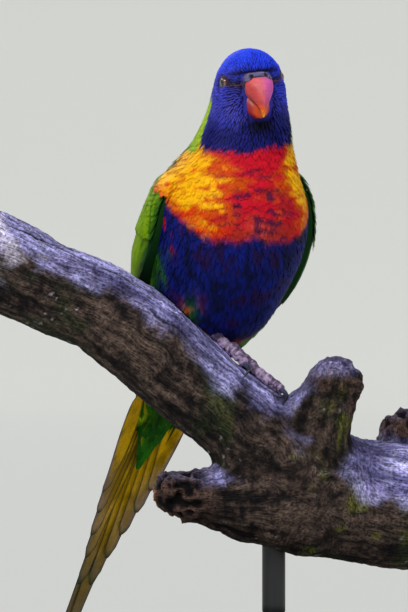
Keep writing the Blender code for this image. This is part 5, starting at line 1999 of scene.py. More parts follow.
@dataclass
class Feet:
    """Two feet that grip the perch, with two toes forward and two back, and hooked claws.

    A toe swells by a cosine of the distance along it, once for each of its bones.
    """

    perch: Perch
    ankle: tuple[float, float, float] = (-8.0, 0.0, 3.0)
    sole: tuple[float, float, float] = (-6.0, 0.6, 1.5)
    shank_radius: float = 2.4 * MM
    toe_radius: float = 2.3 * MM
    toe_swell: tuple = (0.95, 1.1, 1.05, 1.05, 0.86)
    toe_rest: tuple = (0.95, 1.05, 1.1, 0.85)
    joint: float = 4.4
    claw_radius: float = 1.0 * MM
    scute: float = 1.15 * MM

    def over(self, x: float, around: float, along: float, height: float) -> Array:
        """A point over the bark, by degrees round the limb from its top towards the front.

        Args:
            x: the leg's place along the model's X from the perch datum, in millimetres.
            around: degrees.
            along: millimetres along the limb.
            height: metres over the bark.

        Returns:
            The point.
        """
        points, radii = self.perch.line(LIMB)
        place = (x + PERCH_DATUM[0]) * MM
        at = np.array((place, place + 2 * MM))
        centre, ahead = np.column_stack([np.interp(at, points[:, 0], points[:, i]) for i in range(3)])
        heading = unit(ahead - centre)
        top = square_to(UP, heading)
        front = np.cross(heading, top)
        front = -front * np.sign(front[1])
        a = math.radians(around)
        out = math.cos(a) * top + math.sin(a) * front
        return centre + heading * along * MM + out * (np.interp(place, points[:, 0], radii) + height)

    def toes(self, place: float, bones: Sequence) -> list[tuple[Array, Array]]:
        """The middle lines of a foot's toes and of their claws, from its ankle."""
        ankle = self.over(place, self.ankle[0], self.ankle[1], self.ankle[2] * MM)
        made = []
        for rounds, runs, (tip_round, tip_run) in bones:
            knots = zip(rounds, runs, self.toe_rest)
            joints = [self.over(place, r, run, self.toe_radius * rest) for r, run, rest in knots]
            around = 0.45 * tip_round + 0.55 * rounds[-1]
            along = 0.6 * tip_run + 0.4 * runs[-1] + math.copysign(0.8, tip_run)
            bend = self.over(place, around, along, 1.3 * self.toe_radius)
            tip = self.over(place, tip_round, tip_run, 0.4 * MM)
            joints = self.rested(np.array([ankle] + joints), 0.8 * self.toe_radius)
            made.append((joints, self.rested(np.array((joints[-1], bend, tip)), 0.5 * MM)))
        return made

    def rested(self, line: Array, height: float) -> Array:
        """The line moved out of the whole branch, to at least a height over its bark."""
        gap = self.perch.field(line)
        return line + self.perch.steepest(line) * np.maximum(height - gap, 0)[:, None]

    def scaled(self, line: Array, radii: Array, scale: float = 1.0) -> Shape:
        """A toe's skin: plates across its back, small grains at its sides, soft pads below.

        The radius grows by a rounded saw of the distance along the toe on its back, by grains
        at its sides, and by one swelling for each joint below.
        """
        table = curve_through(np.column_stack((line, radii)), 16 * len(line))
        line, radii = table[:, :3], table[:, 3].copy()
        run = np.concatenate(((0,), np.cumsum(np.linalg.norm(np.diff(line, axis=0), axis=1))))
        end = np.clip((run[-1] - run) / (1.2 * MM), 0, 1)
        radii *= np.sqrt(1 - (1 - end) ** 2 * 0.85)
        knuckle = np.cos((run / MM - 1.0) * 2 * math.pi / self.joint)
        radii *= 1 + 0.065 * knuckle
        rings, out, a = sweep(line, radii, 48)
        noise = Cloud(Seed.SCALES)
        back = smooth(-0.05, 0.6, np.cos(a) + 0.2 * noise.at(rings / MM, 3.0))
        place = run[:, None] / (self.scute * scale) + 0.28 * noise.at(rings / MM, 2.2)
        saw = np.mod(place, 1)
        step = noise.at(np.stack((np.floor(place) * 3.7, 0 * a, 0 * a), -1), 1.0)
        plate = np.sin(math.pi * saw).clip(0) ** 0.3 - 0.8 + 0.25 * step
        grain = noise.at(rings / MM, 0.7)
        rise = back * plate * 0.16 + (1 - back) * grain * 0.14
        rings = rings + out * (rise * MM)[..., None]
        # Painted shade: dark in the low parts of the plates and grains.
        groove = smooth(0.0, -0.5, plate) * back + (1 - back) * smooth(0.1, -0.6, grain)
        tone = smooth(-0.7, 0.7, grain + step * back + 0.5 * Cloud(Seed.TOE_TONES).at(rings / MM, 4))
        colour = mix(Flesh.SCALE_DARK, Flesh.SCALE_PALE, tone)
        # Painted shade where the toe narrows between its swellings.
        dent = smooth(-0.3, -1.0, knuckle)[:, None]
        colour = mix(colour, Flesh.GROOVE_SHADE, np.clip(0.6 * groove + 0.4 * dent, 0, 0.9))
        return solid(rings, colour)

    def claw(self, line: Array) -> Shape:
        """A hooked horn cone, thick at its root and drawn out to a point."""
        table = curve_through(np.column_stack((line, (1.15, 0.85, 0.14))), 34)
        root = table[0] - (table[1] - table[0]) * 5
        table = np.vstack((root, table))
        rings, _, a = sweep(table[:, :3], table[:, 3] * self.claw_radius, 20)
        share = np.broadcast_to(np.linspace(0, 1, len(table))[:, None], a.shape)
        streak = Cloud(Seed.CLAWS).at(np.stack((share * 6, a * 2, 0 * a), -1), 1.0)
        colour = mix(Flesh.CLAW_ROOT, Flesh.CLAW_TIP, smooth(0.1, 0.8, share + 0.1 * streak))
        return solid(rings, colour)

    def make(self, name: str) -> tuple[Shape, Shape]:
        """One leg and foot.

        Args:
            name: the leg's node.

        Returns:
            Its scaled skin and its claws.
        """
        place, knee, bones = LEGS[name]
        toes = self.toes(place, bones)
        ankle = toes[0][0][0]
        knee = ankle + np.array(knee) * MM
        sole = self.over(place, self.sole[0], self.sole[1], self.sole[2] * MM)
        shank = np.array((knee, (knee + ankle) / 2, ankle, sole))
        skin = [self.scaled(shank, np.array((1.45, 1.05, 1.12, 1.0)) * self.shank_radius, 1.3)]
        skin += [self.scaled(toe, np.array(self.toe_swell) * self.toe_radius) for toe, _ in toes]
        skin = Shape.together(skin)
        skin.points = self.perch.clear(0.12 * MM)(skin.points)
        return skin, Shape.together([self.claw(line) for _, line in toes])


@dataclass
class Bark:
    """The perch's bark: relief and colours over the smooth union of its limbs."""

    perch: Perch

    def remeshed(self) -> tuple[Array, Array]:
        """The limbs' closed tubes, with round caps where they aren't sawn, joined in small faces.

        A cap's ring at a turn t lies sin t radii past the end and is cos t radii wide.

        Returns:
            Points and quads.
        """
        tubes = []
        for limb, sawn in zip(self.perch.limbs, self.perch.sawn):
            line, radii = self.perch.line(limb)
            table = curve_through(np.column_stack((line, radii)), 12 * len(line))
            for end in (-1, 0):
                if not sawn[end]:
                    turn = np.linspace(0, 1.45, 8)[1:, None]
                    ahead = unit(table[-1, :3] - table[-2, :3]) * table[-1, 3]
                    cap = np.hstack((table[-1, :3] + np.sin(turn) * ahead, np.cos(turn) * table[-1, 3]))
                    table = np.vstack((table, cap))
                table = table[::-1]
            tubes.append(solid(sweep(table[:, :3], table[:, 3], 40)[0]))
        mesh = Shape.together(tubes).mesh("bark_blank")
        obj = added("bark_blank", mesh)
        step = obj.modifiers.new("voxels", "REMESH")
        step.mode = "VOXEL"
        step.voxel_size = self.perch.voxel
        bpy.context.view_layer.update()
        made = bpy.data.meshes.new_from_object(obj.evaluated_get(bpy.context.evaluated_depsgraph_get()))
        points = np.empty(len(made.vertices) * 3, np.float32)
        made.vertices.foreach_get("co", points)
        corners = np.empty(len(made.loops), np.int32)
        made.loops.foreach_get("vertex_index", corners)
        bpy.data.objects.remove(obj)
        for spare in (mesh, made):
            bpy.data.meshes.remove(spare)
        return points.reshape(-1, 3).astype(float), corners.reshape(-1, 4)

    def grown(self, points: Array) -> tuple[Array, Array, Array, Array]:
        """Relief and its masks for points on the smooth surface.

        Args:
            points: places in metres.

        Returns:
            The relief in millimetres, the long grain from -1 to 1, the share of cut wood, and
            coordinates round and along the limbs for the finish.
        """
        noise = Cloud(Seed.BARK)
        mm = points / MM
        weight, grain, cut = np.zeros(len(mm)), np.zeros(len(mm)), np.zeros(len(mm))
        flow = np.zeros_like(mm)
        for k, limb in enumerate(self.perch.limbs):
            gap, away, run = self.perch.near(points, limb)
            near = np.exp(-np.clip(gap / MM, 0, 60) / 1.4)
            bent = run / MM + 3 * noise.at(mm, 24)
            turned = away[:, (1, 2) if k < 2 else (0, 1)] + k
            fine = noise.at(np.column_stack((turned * 12, bent / 12)), 1.0)
            coarse = noise.at(np.column_stack((turned * 4.5 + 9, bent / 26)), 1.0)
            grain += near * (0.55 * fine + 0.6 * coarse)
            flow += near[:, None] * np.column_stack((turned * 19, bent + 0 * gap))
            weight += near
            for end, out in self.perch.cuts(limb):
                flat = (points - end) @ out / MM
                cut = np.maximum(cut, smooth(-1.4, -0.4, flat) * (gap < 3 * MM))
        grain /= weight
        flow /= weight[:, None]
        lumps = 0.8 * noise.at(mm, 26) + 0.5 * noise.at(mm + 9, 11)
        ridges = 1 - np.abs(noise.at(mm * (1, 1, 1.4) + 5, 8))
        flakes = smooth(0.1, 0.35, noise.at(mm + 17, 5.5) + 0.4 * grain)
        relief = lumps + 0.42 * grain + 0.14 * flakes + 0.2 * ridges + 0.3 * noise.at(mm, 2.0)
        return relief, grain, cut, flow

    def make(self) -> Shape:
        """The whole branch, closed, with its relief and colours."""
        points, quads = self.remeshed()
        for _ in range(3):
            points = points - self.perch.steepest(points) * self.perch.field(points)[:, None]
        normal = self.perch.steepest(points)
        relief, grain, cut, flow = self.grown(points)
        knob = self.knobs(points)
        high = relief * (1 - 0.75 * cut) + knob * (1.7 * self.rough(points) - 0.2)
        crack = self.cracks(points)
        spot = points + normal * ((high - 0.9 * crack) * MM)[:, None]
        colour = self.colours(points, normal, relief, grain, cut, knob, crack)
        return turned_out(Shape(spot, [quads], colour, None, flow))

    @staticmethod
    def rough(points: Array) -> Array:
        """The gnarls of broken wood: rounded folds 1 - 3.2 |noise| and small lumps."""
        folds = 1 - 3.2 * np.abs(Cloud(Seed.FOLDS).at(points / MM, 4.2))
        return 0.8 * folds + 0.6 * Cloud(Seed.LUMPS).at(points / MM, 2.4)

    def knobs(self, points: Array) -> Array:
        """Share of gnarled wood at the stubs' broken ends."""
        total = np.zeros(len(points))
        for limb, end, reach in ((TRUNK, 0, 24.0), (UPRIGHT, -1, 16.0), (SPUR, -1, 16.0)):
            line, _ = self.perch.line(limb)
            far = np.linalg.norm(points - line[end], axis=1) / MM
            total = np.maximum(total, smooth(reach, reach * 0.45, far))
        return total

    def cracks(self, points: Array) -> Array:
        """Share of a few long splits along the sloping limb, each a wavering line on its front."""
        total = np.zeros(len(points))
        gap, away, run = self.perch.near(points, LIMB)
        noise = Cloud(Seed.CRACKS)
        for start, stop, angle in ((6, 64, 30), (70, 96, 58), (118, 150, 24), (40, 58, 78)):
            turn = np.degrees(np.arctan2(-away[:, 1], away[:, 2]))
            place = run / MM
            waver = 5 * noise.at(np.column_stack((place / 9, place * 0 + angle, place * 0)), 1.0)
            off = (turn - angle - waver) / 57.3 * 19.5
            inside = smooth(start - 3, start + 8, place) * smooth(stop + 3, stop - 8, place)
            total = np.maximum(total, hump(off, 0, 0.75) * inside * (gap < 3 * MM))
        return total

    def colours(
        self,
        points: Array,
        normal: Array,
        relief: Array,
        grain: Array,
        cut: Array,
        knob: Array,
        crack: Array,
    ) -> Array:
        """The wood's colours: lilac-grey painted sky light on top, brown and mossy below.

        Args:
            points: places in metres.
            normal: directions out of the bark.
            relief: the relief in millimetres.
            grain: the long grain.
            cut: share of sawn wood.
            knob: share of gnarled wood.
            crack: share of crack.

        Returns:
            A linear colour for each point.
        """
        mm = points / MM
        noise = Cloud(Seed.WOOD)
        big, small, tiny = noise.at(mm, 22), noise.at(mm + 3, 7), noise.at(mm + 5, 2.2)
        brown = mix(Wood.DARK, Wood.BROWN, smooth(-0.6, 0.7, grain + 0.5 * tiny))
        brown = mix(brown, Wood.GREEN, 0.75 * smooth(-0.1, 0.7, big + 0.5 * small))
        moss = smooth(0.15, 0.6, small + 0.4 * big) * smooth(-15, 35, mm[:, 0])
        brown = mix(brown, Wood.MOSS, 0.6 * moss * smooth(-0.4, 0.4, grain))
        # Painted sky light: faces that look up turn lilac-grey, brighter still at the branch's right-hand
        # end.
        pale = mix(Wood.SKY_LIT_LILAC, Wood.PALE, smooth(-0.6, 0.7, grain + 0.4 * small))
        right = smooth(50, 66, mm[:, 0]) * smooth(90, 84, mm[:, 2])
        top = smooth(0.2, 0.6, normal[:, 2] + 0.3 * right + 0.16 * small + 0.12 * big + 0.1 * grain)
        colour = mix(brown, pale * (1 + 0.4 * right)[:, None], top * (1 - 0.35 * moss))
        lichen = smooth(-86, -96, mm[:, 0] + 8 * small + 6 * big)
        lichen = lichen * smooth(-0.4, 0.1, normal[:, 2] + 0.3 * small)
        colour = mix(colour, Wood.LICHEN, 0.85 * lichen)
        specks = smooth(0.66, 0.76, noise.at(mm + 11, 1.7)) * smooth(-0.2, 0.4, big)
        colour = mix(colour, Wood.SPECK, 0.6 * specks)
        rough = self.rough(points) + 0.3 * tiny
        gnarl = mix(Wood.GNARL_DARK, Wood.GNARL_BROWN, smooth(-0.3, 0.5, rough))
        fresh = smooth(0.2, 0.7, rough) * smooth(0.5, 0.0, normal[:, 2]) * smooth(-22, -30, mm[:, 0])
        gnarl = mix(gnarl, Wood.FRESH, 0.85 * fresh)
        # Painted sky light: raised gnarls that face up turn grey-lilac.
        grey = smooth(0.0, 0.6, rough) * smooth(0.3, 0.8, normal[:, 2])
        gnarl = mix(gnarl, Wood.SKY_LIT_GREY, 0.7 * grey)
        colour = mix(colour, gnarl, knob)
        # Painted shade: dark along the cracks and where the relief is low.
        colour = mix(colour, Wood.CRACK, 0.9 * crack + 0.45 * smooth(0.0, -0.9, relief - 0.6 * big))
        return self.sawn(points, colour, cut)

    def sawn(self, points: Array, colour: Array, cut: Array) -> Array:
        """The two outer sawn ends: pale wood with rings round the pith and a dark bark rim."""
        for limb, end, inner in ((LIMB, 0, 1), (TRUNK, -1, -2)):
            line, radii = self.perch.line(limb)
            off = points - line[end]
            axis = unit(line[end] - line[inner])
            far = np.linalg.norm(off - (off @ axis)[:, None] * axis, axis=1) / MM
            here = cut * (np.abs(off @ axis) < 2.2 * MM) * (far < radii[end] / MM + 2)
            rings = np.sin(far * 3.4 + 1.6 * Cloud(Seed.RINGS).at(points / MM, 9))
            wood = mix(Wood.RING_DARK, Wood.RING_PALE, smooth(-1, 1, rings))
            wood = mix(wood, Wood.RING_EDGE, smooth(0.75, 1.0, far / (radii[end] / MM)))
            colour = mix(colour, wood, here)
        return colour


@dataclass
class Stand:
    """The display stand: a plate with eased corners and a collared rod up to the branch."""

    width: float = 150.0 * MM
    depth: float = 118.0 * MM
    height: float = 8.0 * MM
    corner: float = 9.0 * MM
    rod_radius: float = 5.0 * MM
    rod_spot: tuple[float, float, float] = (30.0, 2.0, -84.0)

    def plate(self) -> Shape:
        """The base: a rounded rectangle carried up a profile with an eased edge.

        The outline at a level is the rectangle's own with its corners as quarter rounds, moved
        in by the profile's inset there.
        """
        turn = np.linspace(0, math.pi / 2, 12)
        # Inset and level in mm: the underside, the eased edge, and a groove round the top
        profile = np.array(
            [(3.0, 0.0), (0.6, 0.0), (0.6, 0.8), (0.0, 1.2)]
            + [(1.2 - 1.2 * math.cos(t), 6.8 + 1.2 * math.sin(t)) for t in np.linspace(0, math.pi / 2, 7)]
            + [(3.0, 8.0), (3.35, 7.75), (3.7, 7.75), (4.05, 8.0), (30.0, 8.0)]
        )
        rings = []
        for inset, level in profile:
            radius = max(self.corner - inset * MM, 1.0 * MM)
            x, y = self.width / 2 - inset * MM - radius, self.depth / 2 - inset * MM - radius
            corners = []
            for k, (sx, sy) in enumerate(((1, 1), (-1, 1), (-1, -1), (1, -1))):
                a = turn + k * math.pi / 2
                corners.append(np.column_stack((sx * x + radius * np.cos(a), sy * y + radius * np.sin(a))))
            flat = np.concatenate(corners)
            rings.append(np.column_stack((flat, np.full(len(flat), level * MM))))
        return solid(np.array(rings))

    def rod(self, perch: Perch) -> Shape:
        """The rod with a turned collar on the plate and a cup under the branch."""
        foot = self.height
        x, y = ((self.rod_spot[i] + PERCH_DATUM[i]) * MM for i in (0, 1))
        top = (self.rod_spot[2] + PERCH_DATUM[2]) * MM
        # Height over the plate and radius in mm: the foot ring, its hollow and a turned line
        profile = [(0.0, 11.0), (0.5, 11.6), (2.2, 11.6), (2.8, 11.0), (3.0, 7.4), (3.6, 6.0), (4.6, 5.0)]
        profile += [(12, 5), (12.4, 4.7), (12.8, 5)]
        levels = [(foot + z * MM, r * MM) for z, r in profile]
        levels += [(z, self.rod_radius) for z in np.linspace(foot + 16 * MM, top, 14)]
        table = np.array(levels)
        a = turns(64)
        level, radius = table[:, :1], table[:, 1:]
        rings = (x + radius * np.cos(a), y + radius * np.sin(a), level)
        rings = np.stack(np.broadcast_arrays(*rings), -1)
        rings[0, :, 2] += 0.05 * MM
        gap = perch.near(rings.reshape(-1, 3), TRUNK)[0].reshape(rings.shape[:2])
        rings[..., 2] -= np.clip(0.1 * MM - gap, 0, None) * 1.02
        return solid(rings)


class Graph:
    """A material's nodes, made and linked by short calls."""

    def __init__(self, name: str) -> None:
        """Starts a material with one Principled shader.

        Args:
            name: the material's name.
        """
        self.material = bpy.data.materials.new(name)
        self.material.use_nodes = True
        self.tree = self.material.node_tree
        self.shader = self.tree.nodes["Principled BSDF"]

    def node(self, kind: str, values: dict | None = None, **settings: object) -> bpy.types.Node:
        """Adds a node, with its settings and its inputs' values or sources.

        Args:
            kind: the node's type, without the word ShaderNode.
            values: for each input, a value or another node's output.
            settings: the node's own properties.

        Returns:
            The node.
        """
        made = self.tree.nodes.new("ShaderNode" + kind)
        for key, value in settings.items():
            setattr(made, key, value)
        for key, value in (values or {}).items():
            self.put(made.inputs[key], value)
        return made

    def put(self, socket: bpy.types.NodeSocket, value: object) -> None:
        """Links an output to a socket, or sets the socket's value."""
        if isinstance(value, bpy.types.NodeSocket):
            self.tree.links.new(value, socket)
        else:
            socket.default_value = value

    def math(self, operation: str, *values: object) -> bpy.types.NodeSocket:
        """One Math node's result."""
        return self.node("Math", dict(enumerate(values)), operation=operation).outputs[0]

    def ramp(self, factor: object, stops: Sequence[tuple[float, tuple]]) -> bpy.types.NodeSocket:
        """A colour ramp's result, from places and colours of three or one values."""
        made = self.node("ValToRGB", {0: factor})
        while len(made.color_ramp.elements) < len(stops):
            made.color_ramp.elements.new(0.5)
        for element, (place, colour) in zip(made.color_ramp.elements, stops):
            element.position = place
            element.color = (*(colour * 3 if len(colour) == 1 else colour), 1)
        return made.outputs[0]

    def tint(self, colour: object, factor: object, low: float, high: float) -> bpy.types.NodeSocket:
        """A colour made darker or lighter by a factor from 0 to 1."""
        level = self.between(factor, low, high)
        return self.node("VectorMath", {0: colour, "Scale": level}, operation="SCALE").outputs[0]

    def noise(self, place: object, scale: float, detail: float) -> bpy.types.NodeSocket:
        """A noise texture's value at places."""
        return self.node("TexNoise", {"Vector": place, "Scale": scale, "Detail": detail}).outputs[0]

    def between(self, factor: object, low: float, high: float) -> bpy.types.NodeSocket:
        """A factor from 0 to 1 carried over to the range from low to high."""
        return self.node("MapRange", {0: factor, 3: low, 4: high}).outputs[0]

    def surface(self, **values: object) -> None:
        """Sets the shader's sockets, named with low lines for spaces."""
        for key, value in values.items():
            self.put(self.shader.inputs[key.replace("_", " ")], value)

    def bump(self, height: object, distance: float, strength: float = 1.0) -> None:
        """Puts a bump of a height in metres times its distance on the shader."""
        made = self.node("Bump", {"Height": height, "Distance": distance, "Strength": strength})
        self.put(self.shader.inputs["Normal"], made.outputs[0])

    def dyed(self) -> bpy.types.NodeSocket:
        """The piece's own colour attribute."""
        return self.node("Attribute", attribute_name=COLOUR).outputs["Color"]

    def grain(self) -> bpy.types.NodeSocket:
        """The piece's own coordinates for its grain, in millimetres."""
        return self.node("Attribute", attribute_name=GRAIN).outputs["Vector"]


@dataclass(frozen=True)
class FeatherFinish:
    """Feather vanes: barbs slanting out from the shaft, over the piece's own colours."""

    name: str
    roughness: float = 0.6
    specular: float = 0.1
    barbs: float = 0.34
    depth: float = 0.05 * MM

    def material(self) -> bpy.types.Material:
        """Barbs are noise of along - 1.1 |across|, drawn out along themselves."""
        g = Graph(self.name)
        parts = g.node("SeparateXYZ", {0: g.grain()}).outputs
        side = g.math("ABSOLUTE", parts[1])
        slant = g.math("SUBTRACT", parts[0], g.math("MULTIPLY", side, 1.1))
        spread = g.math("MULTIPLY", g.math("ADD", parts[0], side), 0.16)
        place = g.node("CombineXYZ", {0: slant, 1: spread, 2: parts[2]}).outputs[0]
        fine, broad = (g.noise(place, scale, 2.0) for scale in (3.6, 1.1))
        both = g.math("ADD", g.math("MULTIPLY", fine, 0.6), g.math("MULTIPLY", broad, 0.4))
        sharp = g.node("MapRange", {0: both, 1: 0.3, 2: 0.7}).outputs[0]
        g.surface(Base_Color=g.tint(g.dyed(), sharp, 1 - self.barbs, 1 + self.barbs))
        g.surface(Roughness=self.roughness, Specular_IOR_Level=self.specular)
        g.bump(sharp, self.depth, 0.6)
        return g.material


@dataclass(frozen=True)
class BarkFinish:
    """Weathered bark: fine grooves along each limb and grit over the piece's own colours, darker in their
    lows and lighter on their highs, partly the bark's tone and partly painted shade and light.
    """

    name: str
    stretch: float = 0.1
    grit: float = 800.0
    dark: float = 0.24
    light: float = 1.62
    depth: float = 0.7 * MM

    def material(self) -> bpy.types.Material:
        """Grooves are two noises of the places round and along the limb, drawn out along it."""
        g = Graph(self.name)
        drawn = g.node("VectorMath", {0: g.grain(), 1: (1, 1, self.stretch)}, operation="MULTIPLY")
        fine, broad = (g.noise(drawn.outputs[0], scale, 4.0) for scale in (1.7, 0.5))
        grit = g.noise(g.node("TexCoord").outputs["Object"], self.grit, 7.0)
        both = g.math("ADD", g.math("MULTIPLY", fine, 0.4), g.math("MULTIPLY", broad, 0.2))
        both = g.math("ADD", both, g.math("MULTIPLY", grit, 0.4))
        sharp = g.node("MapRange", {0: both, 1: 0.41, 2: 0.59}).outputs[0]
        # The colour follows the bump: darker in its lows and lighter on its highs, partly tone, partly
        # painted shade and light.
        g.surface(Base_Color=g.tint(g.dyed(), sharp, self.dark, self.light))
        g.surface(Roughness=0.88, Specular_IOR_Level=0.15)
        g.bump(sharp, self.depth)
        return g.material


@dataclass(frozen=True)
class DyedFinish:
    """A finish over the piece's own colours, with noise in its colour, gloss and relief."""

    name: str
    roughness: tuple[float, float] = (0.4, 0.6)
    scale: float = 900.0
    relief: float = 0.05 * MM
    vary: float = 0.15
    coat: float = 0.0
    specular: float = 0.5
    subsurface: float = 0.0
    detail: float = 4.0

    def material(self) -> bpy.types.Material:
        """Noise on the object's own places changes colour, roughness and bump together."""
        g = Graph(self.name)
        place = g.node("TexCoord").outputs["Object"]
        noise = g.noise(place, self.scale, self.detail)
        g.surface(Base_Color=g.tint(g.dyed(), noise, 1 - self.vary, 1 + self.vary))
        g.surface(Roughness=g.between(noise, *self.roughness))
        g.surface(Specular_IOR_Level=self.specular, Coat_Weight=self.coat, Coat_Roughness=0.04)
        if self.subsurface:
            g.surface(Subsurface_Weight=self.subsurface, Subsurface_Scale=1.5 * MM)
            g.surface(Subsurface_Radius=(1.0, 0.4, 0.3))
        g.bump(noise, self.relief)
        return g.material


@dataclass(frozen=True)
class PlainFinish:
    """A made surface in one colour: fine grain in its relief and gloss."""

    name: str
    colour: tuple[int, int, int]
    roughness: tuple[float, float] = (0.35, 0.5)
    scale: float = 2600.0
    relief: float = 0.02 * MM
    metallic: float = 0.0
    spread: float = 0.12

    def material(self) -> bpy.types.Material:
        """Fine noise on the object's own places, as a satin powder coat has."""
        g = Graph(self.name)
        place = g.node("TexCoord").outputs["Object"]
        noise = g.noise(place, self.scale, 2.0)
        base = tuple(dye(*self.colour))
        dark, light = (tuple(k * c for c in base) for k in (1 - self.spread, 1 + self.spread))
        colour = g.ramp(noise, ((0.3, dark), (0.7, light)))
        g.surface(Base_Color=colour, Metallic=self.metallic)
        g.surface(Roughness=g.between(noise, *self.roughness))
        g.bump(noise, self.relief)
        return g.material


@dataclass
class Workshop:
    """Puts finished shapes into the scene as pieces that stand for the frame's nodes."""

    count: int = 0
    triangles: int = 0
    materials: dict[str, bpy.types.Material] = field(default_factory=dict)

    def finish(self, style: Finish) -> bpy.types.Material:
        """A finish's material, made once."""
        if style.name not in self.materials:
            self.materials[style.name] = style.material()
        return self.materials[style.name]

    def piece(self, name: str, shape: Shape, style: Finish, slot: str, *nodes: str) -> bpy.types.Object:
        """Makes a shape a piece that rides with the frame.

        Args:
            name: the piece's name.
            shape: its mesh as arrays.
            style: its finish.
            slot: the record's material slot that it belongs to.
            nodes: the solids that it stands for.

        Returns:
            The object.
        """
        mesh = shape.mesh(name)
        obj = added(name, mesh)
        mesh.materials.append(self.finish(style))
        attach(obj, "root")
        if nodes:
            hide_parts(*nodes)
        faces = sum(len(f) * (f.shape[1] - 2) for f in shape.faces)
        self.count += 1
        self.triangles += faces
        LOG.info("%s: %d triangles, slot %s", name, faces, slot)
        return obj


class Sun(Enum):
    """The studio's broad, even lights: where each comes from, how soft, how strong, its colour."""

    key = ((-0.7, -1.2, 1.5), 0.5, 2.3, (1.0, 0.97, 0.93))
    fill = ((1.3, -1.3, 0.5), 0.9, 0.5, (0.92, 0.96, 1.0))
    rim = ((-0.6, 1.3, 1.0), 0.5, 1.0, (1.0, 0.98, 0.94))


@dataclass
class Studio:
    """A pale floor that sweeps up all round, soft lights, and the photograph's view."""

    distance: float = 3.5
    pixel: float = 0.43 * MM
    rows: int = 612
    sensor: float = 36.0
    aim: tuple[float, float, float] = (-6 * MM, -14 * MM, 152 * MM)
    # The bowl's flat floor, its quarter round and its rim's height, in metres
    bowl: tuple[float, float, float] = (8.4, 1.6, 2.2)
    sky: float = 0.42

    def floor(self) -> None:
        """A wide bowl: a profile of flat floor, quarter round and wall turned about Z."""
        turn = np.linspace(0, math.pi / 2, 12)
        flat, curve, wall = self.bowl
        radius = np.concatenate(((0.05, 1.0, 3.0), flat + curve * np.sin(turn), (flat + curve,)))
        level = np.concatenate(((0.0, 0.0, 0.0), curve - curve * np.cos(turn), (wall,)))
        count = 96
        radius, a = sheet(radius, turns(count))
        rings = np.stack((radius * np.cos(a), radius * np.sin(a), 0 * a + level[:, None]), -1)
        points = np.concatenate((rings.reshape(-1, 3), ((0.0, 0.0, 0.0),)))
        step = np.arange(count)
        middle = np.stack((np.full(count, len(points) - 1), step, (step + 1) % count), -1)
        mesh = Shape(points, [grid_faces(len(rings), count, True), middle]).mesh("floor")
        obj = added("floor", mesh)
        obj.visible_shadow = False
        mesh.materials.append(PAPER.material())

    def lights(self) -> None:
        """Soft suns, so that bird and far floor get the same light, under an even pale sky."""
        for sun in Sun:
            place, soft, strength, colour = sun.value
            data = bpy.data.lights.new(sun.name, "SUN")
            data.angle, data.energy, data.color = soft, strength, colour
            obj = added(sun.name, data)
            obj.rotation_euler = Vector(place).to_track_quat("Z", "Y").to_euler()
        world = bpy.data.worlds.new("sky")
        world.use_nodes = True
        background = world.node_tree.nodes["Background"]
        background.inputs[0].default_value = (0.9, 0.93, 1.0, 1)
        background.inputs[1].default_value = self.sky
        bpy.context.scene.world = world
        bpy.context.scene.view_settings.view_transform = "Standard"

    def camera(self) -> None:
        """A level camera far in front, whose view is as high as the photograph's rows."""
        data = bpy.data.cameras.new("camera")
        data.sensor_width = self.sensor
        data.lens = self.sensor * self.distance / (self.rows * self.pixel)
        obj = added("camera", data)
        x, y, z = self.aim
        obj.location = (x, y - self.distance, z)
        obj.rotation_euler = (math.pi / 2, 0, 0)
        bpy.context.scene.camera = obj


FEATHER = FeatherFinish("feather_vanes")
QUILL = FeatherFinish("quill_vanes", 0.6, 0.08, 0.3)
SKIN = DyedFinish("bare_skin_under_down", (0.7, 0.85), 700.0, 0.1 * MM, 0.3, specular=0.1)
HORN = DyedFinish("bill_horn", (0.38, 0.55), 500.0, 0.03 * MM, 0.12, specular=0.3, subsurface=0.08)
WAX = DyedFinish("cere_skin", (0.5, 0.7), 1500.0, 0.06 * MM, 0.2, specular=0.25)
LID = DyedFinish("lid_skin", (0.5, 0.7), 2200.0, 0.06 * MM, 0.25, specular=0.25)
CORNEA = DyedFinish("wet_eye", (0.03, 0.06), 900.0, 0.0, 0.1, coat=1.0)
SCALE = DyedFinish("foot_scales", (0.5, 0.7), 1800.0, 0.06 * MM, 0.25, specular=0.25)
CLAW = DyedFinish("claw_horn", (0.22, 0.36), 900.0, 0.02 * MM, 0.15, coat=0.2)
BARK = BarkFinish("weathered_bark")
PAINTED = PlainFinish("satin_black_coat", (24, 25, 27))
PAPER = PlainFinish("floor_paper", (192, 194, 191), (0.9, 0.95), 3.0, 0.0, spread=0.0)
Finish = FeatherFinish | BarkFinish | DyedFinish | PlainFinish


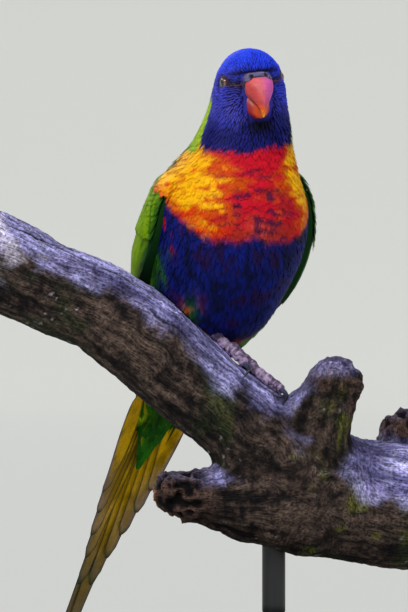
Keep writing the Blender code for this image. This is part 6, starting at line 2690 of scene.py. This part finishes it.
def build_bird(shop: Workshop, perch: Perch) -> None:
    """Makes the bird's skin, coat, head parts, wings, tail and feet.

    Args:
        shop: takes the pieces.
        perch: what the bird grips.
    """
    body = Body()
    plumage = Plumage(body, Seed.MOTTLING)
    coat = Coat(body, plumage, perch)
    shop.piece("skin", coat.skin(), SKIN, "belly_feathers", "head", "neck", "torso")
    for name, shape, slot in coat.make():
        shop.piece(name, shape, FEATHER, slot)
    bill = Bill(body)
    shop.piece("bill_upper", bill.horn(), HORN, "bill", "beak_upper")
    shop.piece("bill_lower", bill.lower(), HORN, "bill", "beak_lower")
    shop.piece("cere", bill.cere(), WAX, "bill")
    eyes = Eyes(body)
    for node, side in (("eye_right", -1), ("eye_left", 1)):
        shop.piece(node + "_ball", eyes.ball(side), CORNEA, "eyes", node)
        shop.piece(node + "_lid", eyes.lid(side), LID, "head_feathers")
    for node, side in (("wing_right", -1), ("wing_left", 1)):
        wing = Wing(body, side, plumage, perch)
        shop.piece(node + "_feathers", wing.make(), QUILL, "wing_feathers", node)
        shop.piece(node + "_arm", wing.arm(), SKIN, "wing_feathers")
        if side < 0:
            shoulder = wing.shoulder(np.random.default_rng(Seed.SHOULDER))
            shop.piece("shoulder_feathers", shoulder, FEATHER, "breast_feathers")
    tail = Tail(body, plumage)
    rng = np.random.default_rng(Seed.TAIL)
    shop.piece("tail_quills", tail.quills(rng), QUILL, "tail_feathers", "tail")
    shop.piece("tail_coverts", tail.coverts(rng), FEATHER, "tail_feathers")
    feet = Feet(perch)
    for node in LEGS:
        skin, claws = feet.make(node)
        shop.piece(node + "_scales", skin, SCALE, "feet", node)
        shop.piece(node + "_claws", claws, CLAW, "feet")


def main() -> None:
    """Builds the model around the frame, then its studio, and notes both sizes."""
    logging.basicConfig(level=logging.INFO, format="%(name)s: %(message)s")
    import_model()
    shop = Workshop()
    perch = Perch()
    shop.piece("branch_bark", Bark(perch).make(), BARK, "bark", "perch_branch")
    stand = Stand()
    shop.piece("stand_plate", stand.plate(), PAINTED, "stand", "stand_base")
    shop.piece("stand_post", stand.rod(perch), PAINTED, "stand", "stand_rod")
    build_bird(shop, perch)
    LOG.info("%d pieces, %d triangles", shop.count, shop.triangles)
    studio = Studio()
    studio.floor()
    studio.lights()
    studio.camera()


if __name__ == "__main__":
    main()
